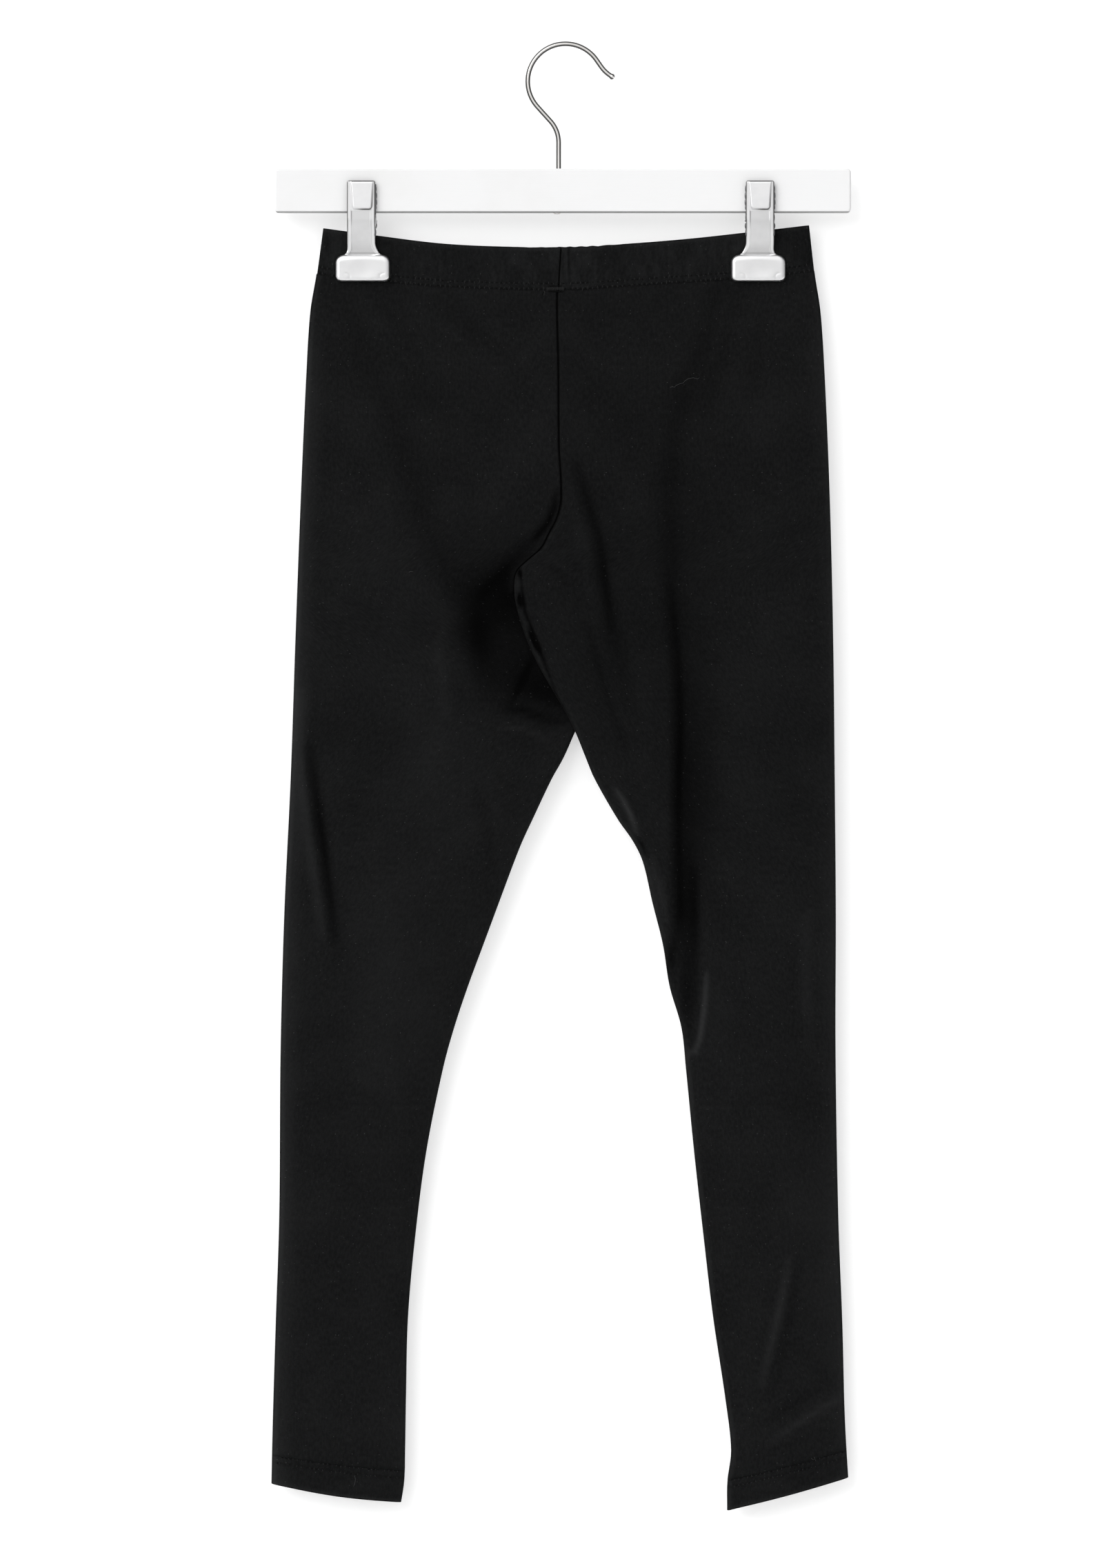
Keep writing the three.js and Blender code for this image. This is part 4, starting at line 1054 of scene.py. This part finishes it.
def on_front(x, drop, lift=0.1):
    """A place on the front of the cloth near the middle of the waistband."""
    return Vector((GARMENT_X + x, -(band_half(x) + lift), WAIST_Z - drop))


# The bar tack over the centre seam, and the knot of loose thread beside it.
TACK_LEFT, TACK_RIGHT, TACK_DROP = -9.5, 2.6, 45.2
for i in range(15):
    x = lerp(TACK_LEFT, TACK_RIGHT, i / 14)
    place = on_front(x, TACK_DROP + rng.uniform(-0.2, 0.2))
    lay_grain(grains, place, Vector((0.05, 0, 1)).normalized(), FRONT, (3.2, 0.6, 0.6), 0)
# Near-black strips along the tack's upper and lower edges: painted shade.
TACK_RUN = Vector((1, 0, -0.02)).normalized()
for below, size in ((2.0, (13.5, 0.9, 0.5)), (-2.0, (12.5, 0.7, 0.5))):
    lay_grain(grains, on_front(-3.4, TACK_DROP + below), TACK_RUN, FRONT, size, 0, 1)
for i in range(7):
    lean = Vector((rng.uniform(-0.8, 0.8), 0, 1)).normalized()
    knot = on_front(-12.1 + rng.uniform(-1, 1), 47.5 + i * 0.35)
    lay_grain(grains, knot, lean, FRONT, (2.4, 0.6, 0.6), 0, i % 3 > 0)
band_stitches = new_object("waistband_stitches", grains.joined(), thread)
band_stitches.data.materials.append(needle_hole)

hem_stitches = {}
for leg, hand in SIDE_NAMES.items():
    grains = Grains()
    columns = columns_round(leg, HEM_PLACES, HEM_PLACES)
    height = HEMS[leg]["inner_edge"] - HEMS[leg]["inner_seam"]
    for below in HEM_STITCH_ROWS:
        share_down = (below + 0.4) / height
        sewn_row(grains, hem_point, columns, share_down, rng, pitch=3.2, tick=1.2, hole_share=0.38)
    hem_stitches[hand] = new_object(f"hem_{hand}_stitches", grains.joined(), thread)
    hem_stitches[hand].data.materials.append(needle_hole)

# The bar.
BAR_CENTRE = Vector((-2, 0, -105.5))
BAR_SIZE = (420, 12, 32)
bm = bmesh.new()
block = Matrix.Translation(BAR_CENTRE * MM) @ Matrix.Diagonal([s * MM for s in BAR_SIZE] + [1])
bmesh.ops.create_cube(bm, size=1, matrix=block)
corners = [e for e in bm.edges if abs(e.verts[0].co.y - e.verts[1].co.y) > 0.001]
bmesh.ops.bevel(bm, geom=corners, offset=3 * MM, segments=5, profile=0.5, affect="EDGES", material=-1)
rims = [e for e in bm.edges if len(e.link_faces) == 2 and e.calc_face_angle() > math.radians(60)]
bmesh.ops.bevel(bm, geom=rims, offset=1.6 * MM, segments=4, profile=0.5, affect="EDGES", material=-1)
# The lower rim is in its own shade, and the upper one a little.
painted_light = bm.verts.layers.float.new("painted_light")
for vert in bm.verts:
    above_middle = vert.co.z / MM - BAR_CENTRE.z
    on_rim = smooth((abs(above_middle) - BAR_SIZE[2] / 2 + 1.3) / 0.9)
    vert[painted_light] = -on_rim * (0.15 if above_middle > 0 else 0.9)
bar = new_object("hanger_bar_painted", bm, paint)
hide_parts("hanger_bar")
for polygon in bar.data.polygons:
    polygon.use_smooth = polygon.area < 0.00005

# The hook: one wire from inside the bar over the bow to a rounded tip.
WIRE_RADIUS = 1.75
BOW_RADIUS = 27.5
STEM_X, STEM_FOOT = -5, -118.0
STEM_LEAN, STEM_BEND = math.radians(42), 23
BOW_END, TIP_STRAIGHT, TIP_BEND, TIP_TURN = math.radians(35), 6, 25, math.radians(22)
# The rounded tip: how far on each ring is, and its radius.
TIP_RINGS = [(0.3, 1.82), (0.7, 2.05), (1.2, 2.15), (1.8, 2.12)]
TIP_RINGS += [(2.3, 1.85), (2.7, 1.45), (3.0, 0.9), (3.12, 0.35)]


def hook_line():
    """The middle of the wire with its radius: up the stem, over the bow and out to the tip."""
    bow_z = WIRE_RADIUS - BOW_RADIUS
    lean_sine, lean_cosine = math.sin(STEM_LEAN), math.cos(STEM_LEAN)
    slope = (BOW_RADIUS * lean_cosine + STEM_X - STEM_BEND * (1 - lean_cosine)) / lean_sine
    bend_z = bow_z - (BOW_RADIUS + STEM_BEND) * lean_sine - slope * lean_cosine
    pen = dict(x=STEM_X, z=STEM_FOOT, heading=QUARTER_TURN)
    points = [(pen["x"], pen["z"], WIRE_RADIUS)]

    def go(length):
        pen["x"] += length * math.cos(pen["heading"])
        pen["z"] += length * math.sin(pen["heading"])

    def straight(length, steps):
        for _ in range(steps):
            go(length / steps)
            points.append((pen["x"], pen["z"], WIRE_RADIUS))

    def bend(radius, turn, steps):
        chord = 2 * radius * math.sin(abs(turn) / steps / 2)
        for _ in range(steps):
            pen["heading"] += turn / steps / 2
            go(chord)
            pen["heading"] += turn / steps / 2
            points.append((pen["x"], pen["z"], WIRE_RADIUS))

    straight(bend_z - STEM_FOOT, 8)
    bend(STEM_BEND, STEM_LEAN, 10)
    straight(slope, 3)
    bend(BOW_RADIUS, -(STEM_LEAN + math.pi - BOW_END), 64)
    straight(TIP_STRAIGHT, 3)
    bend(TIP_BEND, TIP_TURN, 8)
    ahead_x, ahead_z = math.cos(pen["heading"]), math.sin(pen["heading"])
    for far, radius in TIP_RINGS:
        points.append((pen["x"] + far * ahead_x, pen["z"] + far * ahead_z, radius))
    return points


def wire_piece(name, points, sides, material, dark_sides=0.0):
    """A round wire: one circle, extruded from place to place and closed at both ends.

    dark_sides paints shade on it where it turns away from the front and the back."""
    bm = bmesh.new()
    painted_light = bm.verts.layers.float.new("painted_light")
    places = [Vector(p[:3]) for p in points]
    radii = [p[3] for p in points]
    rings = []
    for i, place in enumerate(places):
        ahead = places[min(i + 1, len(places) - 1)] - places[max(i - 1, 0)]
        turn = ahead.normalized().to_track_quat("Z", "Y").to_matrix().to_4x4()
        matrix = Matrix.Translation(place * MM) @ turn
        made = bmesh.ops.create_circle(bm, segments=sides, radius=radii[i] * MM, matrix=matrix)
        for vert in made["verts"]:
            turned = 1 - abs(vert.co.y - place.y * MM) / (radii[i] * MM)
            vert[painted_light] = -dark_sides * smooth((turned - 0.01) / 0.1)
        rings.append(made["verts"])
    for lower, upper in zip(rings, rings[1:]):
        edges = [e for ring_verts in (lower, upper) for e in ring_edges(ring_verts)]
        bmesh.ops.bridge_loops(bm, edges=edges)
    for ring_verts in (rings[0], rings[-1]):
        bmesh.ops.contextual_create(bm, geom=ring_edges(ring_verts))
    bmesh.ops.recalc_face_normals(bm, faces=bm.faces)
    return new_object(name, bm, material)


def ring_edges(verts):
    chosen = set(verts)
    return [e for v in verts for e in v.link_edges if e.other_vert(v) in chosen and e.verts[0] is v]


# The hook's sides get painted shade.
hook = wire_piece("hook_wire", [(x, 0, z, r) for x, z, r in hook_line()], 32, bright_steel, 1.0)
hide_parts("hook")

# The head of the rivet that holds the hook, under the bar.
bm = bmesh.new()
rivet_at = Matrix.Translation(Vector((-6.2, 0, -121.9)) * MM)
radii = dict(radius1=2.4 * MM, radius2=2.8 * MM)
bmesh.ops.create_cone(bm, cap_ends=True, segments=20, depth=1.0 * MM, matrix=rivet_at, **radii)
rivet = new_object("hook_rivet", bm, bright_steel)

# The clips. Each shank stands a little aside of its pad, as pressed.
JAW_TOP, JAW_BOTTOM = -98.5, -171.9
SHANK_HALF, PAD_HALF, FLARE_HALF = 10.3, 20.0, 14.2
SHANK_ASIDE = {"left": -0.7, "right": 0.1}
PAD_ASIDE = {"left": 0.4, "right": -1.1}
STANDOFF, SHEET, GRIP, PAD_DEPTH = 8.6, 1.3, 2.9, 3.6
BEND_TOP, BEND_BOTTOM = -126, -150
FLARE_TOP, PAD_TOP, PAD_CORNER, PAD_FOOT = -143, -152.2, 6.2, 4.4
BOSS_TOP, BOSS_BOTTOM = -99.7, -119.3
BOSS_ASIDE = {"left": 0.6, "right": 0.0}
BOSS_CORNER = 2.2
BOSS_HALF_TOP, BOSS_HALF_FOOT, BOSS_RISE_TOP, BOSS_RISE_FOOT = 8.7, 7.1, 0.55, 1.5
CHANNEL_HALF, CHANNEL_DEPTH = 7.6, 0.7
EDGE_ROLL, EDGE_DROP = 1.1, 0.9
OUTLINE_WIDTH = 0.9
JAW_WALL = 0.9
DIMPLES, DIMPLE_Z = (-12.6, 15.2), -168.2


def jaw_half_width(z):
    """Half the width of a jaw at a height."""
    if z > JAW_TOP - 1.5:
        return SHANK_HALF - 1.5 * (1 - dome((JAW_TOP - z) / 1.5))
    if z > FLARE_TOP:
        return SHANK_HALF
    if z > PAD_TOP:
        share = (FLARE_TOP - z) / (FLARE_TOP - PAD_TOP)
        return SHANK_HALF + (FLARE_HALF - SHANK_HALF) * (1 - math.sqrt(1 - share * share))
    if z > PAD_TOP - PAD_CORNER:
        return PAD_HALF - PAD_CORNER * (1 - dome((PAD_TOP - z) / PAD_CORNER))
    if z < JAW_BOTTOM + PAD_FOOT:
        return PAD_HALF - PAD_FOOT * (1 - dome((z - JAW_BOTTOM) / PAD_FOOT))
    return PAD_HALF


def shank_surface(x, z, half, boss_aside):
    """The pressed shank: a thumb boss that stands out most at its foot, and a sunken channel."""
    slope = smooth((BEND_TOP - z) / (BEND_TOP - BEND_BOTTOM))
    depth = lerp(STANDOFF + SHEET, GRIP + SHEET + 0.3, slope)
    side_room = half - abs(x)
    roll = 1 - dome(min(side_room, JAW_TOP - z) / EDGE_ROLL)
    depth -= EDGE_DROP * roll
    down_boss = clamp((BOSS_TOP - z) / (BOSS_TOP - BOSS_BOTTOM))
    boss_half = lerp(BOSS_HALF_TOP, BOSS_HALF_FOOT, down_boss**0.6)
    inside_x, inside_z = boss_half - abs(x - boss_aside), z - BOSS_BOTTOM
    foot_room = min(inside_x, inside_z)
    if inside_x < BOSS_CORNER and inside_z < BOSS_CORNER:
        foot_room = BOSS_CORNER - math.hypot(BOSS_CORNER - inside_x, BOSS_CORNER - inside_z)
    boss_rise = lerp(BOSS_RISE_TOP, BOSS_RISE_FOOT, down_boss)
    boss = smooth(min(foot_room / 0.9, (BOSS_TOP - z + 0.9) / 1.4)) * boss_rise
    channel_room = min(CHANNEL_HALF + 1.2 * (half - SHANK_HALF) - abs(x), BOSS_BOTTOM - 0.4 - z)
    channel = smooth(channel_room)
    depth += boss - CHANNEL_DEPTH * channel
    # Painted shade: the boss and the channel are darker on the side away from the light, the channel is darker
    # in its recess, and the outline is dark all round.
    away = 0.35 + 0.65 * smooth((x + 6) / 9)
    tone = -0.85 * away * bump_at(foot_room + 0.1, 0.5) * down_boss**0.5 * (abs(x) < 9) - 0.24 * channel
    tone -= 0.35 * bump_at(channel_room, 0.45) * away
    tone -= 1.0 * bump_at(min(side_room, JAW_TOP - z), OUTLINE_WIDTH) * (1 - 0.5 * slope)
    tone -= 0.1 * channel * smooth((-141 - z) / 9)
    return depth, tone


def pad_surface(x, z, half):
    """The cushion-shaped pad with its bevels and two pressed dimples."""
    side_room = half - abs(x)
    top_bevel = lerp(4.2, 7.0, (abs(x) / PAD_HALF) ** 2)
    rise = dome((PAD_TOP + 0.4 - z) / top_bevel) * dome((z - JAW_BOTTOM) / 3.0) * dome(side_room / 3.4)
    depth = GRIP + 0.2 + (PAD_DEPTH - 0.2) * rise
    depth -= 0.3 * smooth((8 - math.hypot(x / 1.6, z + 163.5)) / 7)
    # Painted shade along the outline and in the crescents of the dimples.
    tone = -0.55 * bump_at(min(side_room, z - JAW_BOTTOM), 0.7)
    for dimple in DIMPLES:
        across = x - dimple
        ring = math.hypot(across, (z - DIMPLE_Z) * 1.2) - 3.0
        crescent = smooth(1 - across * math.copysign(0.7, dimple)) * smooth((z + 170.4) / 1.2)
        depth -= 0.16 * bump_at(ring, 0.9) * crescent
        tone -= 0.22 * bump_at(ring, 0.6) * crescent
    return depth, tone


def jaw_piece(name, hand, side, columns, rows):
    """Both surfaces of one pressed jaw, placed on a grid that follows its outline."""
    bm = bmesh.new()
    painted_light = bm.verts.layers.float.new("painted_light")
    bmesh.ops.create_grid(bm, x_segments=columns, y_segments=rows, size=0.5)
    for vert in bm.verts:
        across = 0.5 * math.sin(vert.co.x * math.pi) + vert.co.x
        z = lerp(JAW_BOTTOM, JAW_TOP, vert.co.y + 0.5)
        half = jaw_half_width(z)
        x = across * half
        in_pad = smooth((PAD_TOP + 1.0 - z) / 1.4)
        shank, shank_tone = shank_surface(x, z, half, BOSS_ASIDE[hand])
        pad, pad_tone = pad_surface(x, z, half)
        # A line of painted shade where the pad meets the shank.
        vert[painted_light] = lerp(shank_tone, pad_tone, in_pad) - 0.22 * bump_at(z - PAD_TOP - 0.9, 0.8)
        low = smooth((FLARE_TOP - z) / (FLARE_TOP - PAD_TOP))
        middle = CLIP_X[hand] + lerp(SHANK_ASIDE[hand], PAD_ASIDE[hand], low)
        vert.co = Vector((middle + x, side * lerp(shank, pad, in_pad), z)) * MM
    bm.normal_update()
    if sum(face.normal.y for face in bm.faces) * side < 0:
        bmesh.ops.reverse_faces(bm, faces=bm.faces)
    add_ears(bm, CLIP_X[hand], side)
    piece = new_object(name, bm, satin_steel)
    thicken = piece.modifiers.new("sheet", "SOLIDIFY")
    thicken.thickness = JAW_WALL * MM
    thicken.offset = -1
    return piece


# The ears' outline: (how far forwards, height).
PIN_Z = -129
EAR = [(9.0, -123.2), (0, -126), (-3, -127.8), (-3, -130.2), (0, -132), (7.4, -133.6)]
EAR_OUT = {FRONT: 10.0, BACK: 8.6}


def add_ears(bm, clip_x, side):
    """The two ears that hold the pin, behind the shank."""
    for hand in (LEFT, RIGHT):
        outline = [Vector((clip_x + hand * EAR_OUT[side], side * y, z)) * MM for y, z in EAR]
        face = bm.faces.new([bm.verts.new(corner) for corner in outline])
        face.normal_update()
        if face.normal.x * hand < 0:
            face.normal_flip()


COIL_RADIUS, COIL_WIRE, COIL_HALF, COIL_TURNS, COIL_STEPS = 2.3, 0.55, 5.4, 6, 14


def spring_line(clip_x):
    """The spring round the pin, with one leg against each jaw."""
    coil = []
    for i in range(COIL_TURNS * COIL_STEPS + 1):
        angle = 2 * math.pi * i / COIL_STEPS
        x = clip_x + COIL_HALF * (2 * i / (COIL_TURNS * COIL_STEPS) - 1)
        coil.append((x, COIL_RADIUS * math.cos(angle), PIN_Z + COIL_RADIUS * math.sin(angle), COIL_WIRE))
    lead = [(clip_x - COIL_HALF, -6.2 + 0.9 * i, -116.5 - 2.2 * i, COIL_WIRE) for i in range(4)]
    tail = [(clip_x + COIL_HALF, 3.5 + 0.9 * i, -123.1 + 2.2 * i, COIL_WIRE) for i in range(4)]
    return lead + coil + tail


# The toothed edges of the grip plate that show beside the shank, below its top and again below the bar.
# Each tooth is (its height on the clip, its length, how far it reaches out).
TEETH = [(-104.5, 5.6, 0.9), (-109.4, 6.4, 1.3), (-114.2, 6.0, 1.35), (-118.0, 3.8, 1.0)]
LOW_TEETH = [(-125.2, 6.0, 0.7), (-131.4, 4.6, 1.25), (-136.2, 6.0, 0.8)]
TEETH_SIDES = {"left": (RIGHT,), "right": (LEFT, RIGHT)}
TEETH_REACH = {"left": 1.0, "right": 0.75}
GRIP_Y = -6.6


def grip_plate(hand, clip_x):
    """The dark plate behind the shank, whose teeth hold the bar."""
    bm = bmesh.new()
    place = Matrix.Translation(Vector((clip_x, GRIP_Y, -116)) * MM)
    plate = place @ Matrix.Diagonal((20.4 * MM, 0.9 * MM, 30 * MM, 1))
    bmesh.ops.create_cube(bm, size=1, matrix=plate)
    edges = bm.edges[:]
    bmesh.ops.bevel(bm, geom=edges, offset=0.3 * MM, segments=2, profile=0.5, affect="EDGES", material=-1)
    shank_x = clip_x + SHANK_ASIDE[hand]
    for edge in TEETH_SIDES[hand]:
        for z, height, reach in TEETH + LOW_TEETH:
            at = Matrix.Translation(Vector((shank_x + edge * (SHANK_HALF - 0.2), GRIP_Y, z)) * MM)
            size = Matrix.Diagonal(((reach * TEETH_REACH[hand] + 0.2) * MM, 1.1 * MM, height / 2 * MM, 1))
            bmesh.ops.create_uvsphere(bm, u_segments=10, v_segments=6, radius=1, matrix=at @ size)
    return new_object(f"clip_{hand}_grip_plate", bm, dark_steel)


for hand, clip_x in CLIP_X.items():
    for word, side, columns, rows in (("front", FRONT, 72, 176), ("back", BACK, 44, 110)):
        jaw = jaw_piece(f"clip_{hand}_{word}_pressed", hand, side, columns, rows)
        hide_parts(f"clip_{hand}_{word}_jaw")
    for node, finish in ((f"clip_{hand}_saddle", dark_steel), (f"clip_{hand}_pin", satin_steel)):
        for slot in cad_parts[node].material_slots:
            slot.material = finish
    spring = wire_piece(f"clip_{hand}_spring", spring_line(clip_x), 8, dark_steel)
    for piece in (grip_plate(hand, clip_x), spring):
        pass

# A few hairs of lint on the front. Each is a list of (x, drop).
HAIR_RADIUS = 0.09
HAIRS = [
    [(80.0, 117.2), (81.5, 116.4), (83.2, 117.0), (84.6, 115.6), (86.8, 114.6), (89.6, 113.9),
     (91.2, 112.0), (93.6, 110.6), (97.0, 110.0), (100.2, 110.9), (101.4, 110.0)],
    [(-149.6, 909.2), (-148.9, 911.6), (-149.2, 914.4), (-150.3, 917.2)],
    [(-110.0, 251.8), (-108.6, 250.9), (-106.8, 251.3)],
    [(183.0, 896.6), (184.4, 898.0), (185.6, 897.0), (185.0, 895.6)],
]


def front_of(leg, x, drop):
    """The front of a leg at a place, a little above the cloth."""
    width = abs(OUTER[leg](drop) - inner_edge(leg, FRONT, drop))
    near = abs(x - inner_edge(leg, FRONT, drop))
    share = (near - INNER_FINE) / (width - FOLD_RADIUS - INNER_FINE)
    return leg_point(leg, FRONT, ("flat", share), drop)[0] + Vector((0, -0.12, 0))


for number, hair in enumerate(HAIRS):
    places = [front_of(LEFT if x < 0 else RIGHT, x, drop) for x, drop in hair]
    fibre = wire_piece(f"lint_hair_{number}", [(*place, HAIR_RADIUS) for place in places], 5, lint_hair)

# The room: a white wall just behind, a pale floor below the view, soft light from the upper left.
WALL_Y = 13
FLOOR_Z = -1190
WALL_WHITE, FLOOR_PALE = (0.58, 0.58, 0.58, 1), (0.86, 0.86, 0.86, 1)
WALL_GLOW = 0.5
ROOM_LIGHT = 0.8
SIDE_DARK = 0.12
SUN_STRENGTH, SUN_SPREAD, SUN_HEADING = 1.9, math.radians(48), Vector((0.9, 1.0, -0.85))


def stage_finish(name, colour, glow=0.0):
    """A flat dull surface that may glow."""
    finish = Finish(name, Roughness=0.9, Specular_IOR_Level=0.1, Base_Color=colour, Emission_Strength=glow)
    finish.shader.inputs["Emission Color"].default_value = (1, 1, 1, 1)
    return finish


def seen_from_the_front_only(finish):
    """Clears the wall where it is seen from behind, so that the back of the leggings can be looked at."""
    geometry = finish.node("ShaderNodeNewGeometry")
    clear = finish.node("ShaderNodeBsdfTransparent")
    values = {0: geometry.outputs["Backfacing"], 1: finish.shader.outputs[0], 2: clear.outputs[0]}
    mix = finish.node("ShaderNodeMixShader", values=values)
    finish.tree.links.new(mix.outputs[0], finish.tree.nodes["Material Output"].inputs[0])


def stage_plane(name, centre, size, turn, finish):
    bm = bmesh.new()
    place = Matrix.Translation(Vector(centre) * MM) @ turn
    bmesh.ops.create_grid(bm, x_segments=1, y_segments=1, size=size * MM / 2, matrix=place)
    plane = new_object(name, bm, finish.material, None)


wall_finish = stage_finish("wall_white", WALL_WHITE, WALL_GLOW)
seen_from_the_front_only(wall_finish)
stage_plane("wall", (0, WALL_Y, -400), 6000, Matrix.Rotation(QUARTER_TURN, 4, "X"), wall_finish)
stage_plane("floor", (0, 0, FLOOR_Z), 12000, Matrix.Identity(4), stage_finish("floor_pale", FLOOR_PALE))


def light_the_room():
    """Soft light from all round, brighter from above and the left and darker from straight beside."""
    world = bpy.data.worlds.new("soft_room")
    bpy.context.scene.world = world
    world.use_nodes = True
    room = Nodes(world.node_tree)
    direction = room.tree.nodes.new("ShaderNodeTexCoord").outputs["Generated"]
    x, y, z = room.split(direction)
    facing = y.size().ramp(0.1, 0.5) * (1 - SIDE_DARK) + SIDE_DARK
    lift = (z * 0.6 - x * 0.4).ramp(-0.8, 0.8) * 0.75 + 0.6
    background = world.node_tree.nodes["Background"]
    background.inputs["Color"].default_value = (1, 1, 1, 1)
    room.tree.links.new((facing * lift * ROOM_LIGHT).socket, background.inputs["Strength"])


light_the_room()
sun = bpy.data.lights.new("key", "SUN")
sun.energy = SUN_STRENGTH
sun.angle = SUN_SPREAD
key = bpy.data.objects.new("key", sun)
key.rotation_euler = SUN_HEADING.to_track_quat("-Z", "Y").to_euler()
bpy.context.scene.collection.objects.link(key)

camera_data = bpy.data.cameras.new("camera")
camera_data.sensor_width = SENSOR
camera_data.lens = SENSOR * CAMERA_DISTANCE / (PHOTO_HEIGHT * MM_PER_PIXEL)
camera = bpy.data.objects.new("camera", camera_data)
camera.location = Vector((CAMERA_X, -CAMERA_DISTANCE, CAMERA_Z)) * MM
camera.rotation_euler = (QUARTER_TURN, 0, 0)
bpy.context.scene.collection.objects.link(camera)
bpy.context.scene.camera = camera
bpy.context.scene.view_settings.view_transform = "Standard"
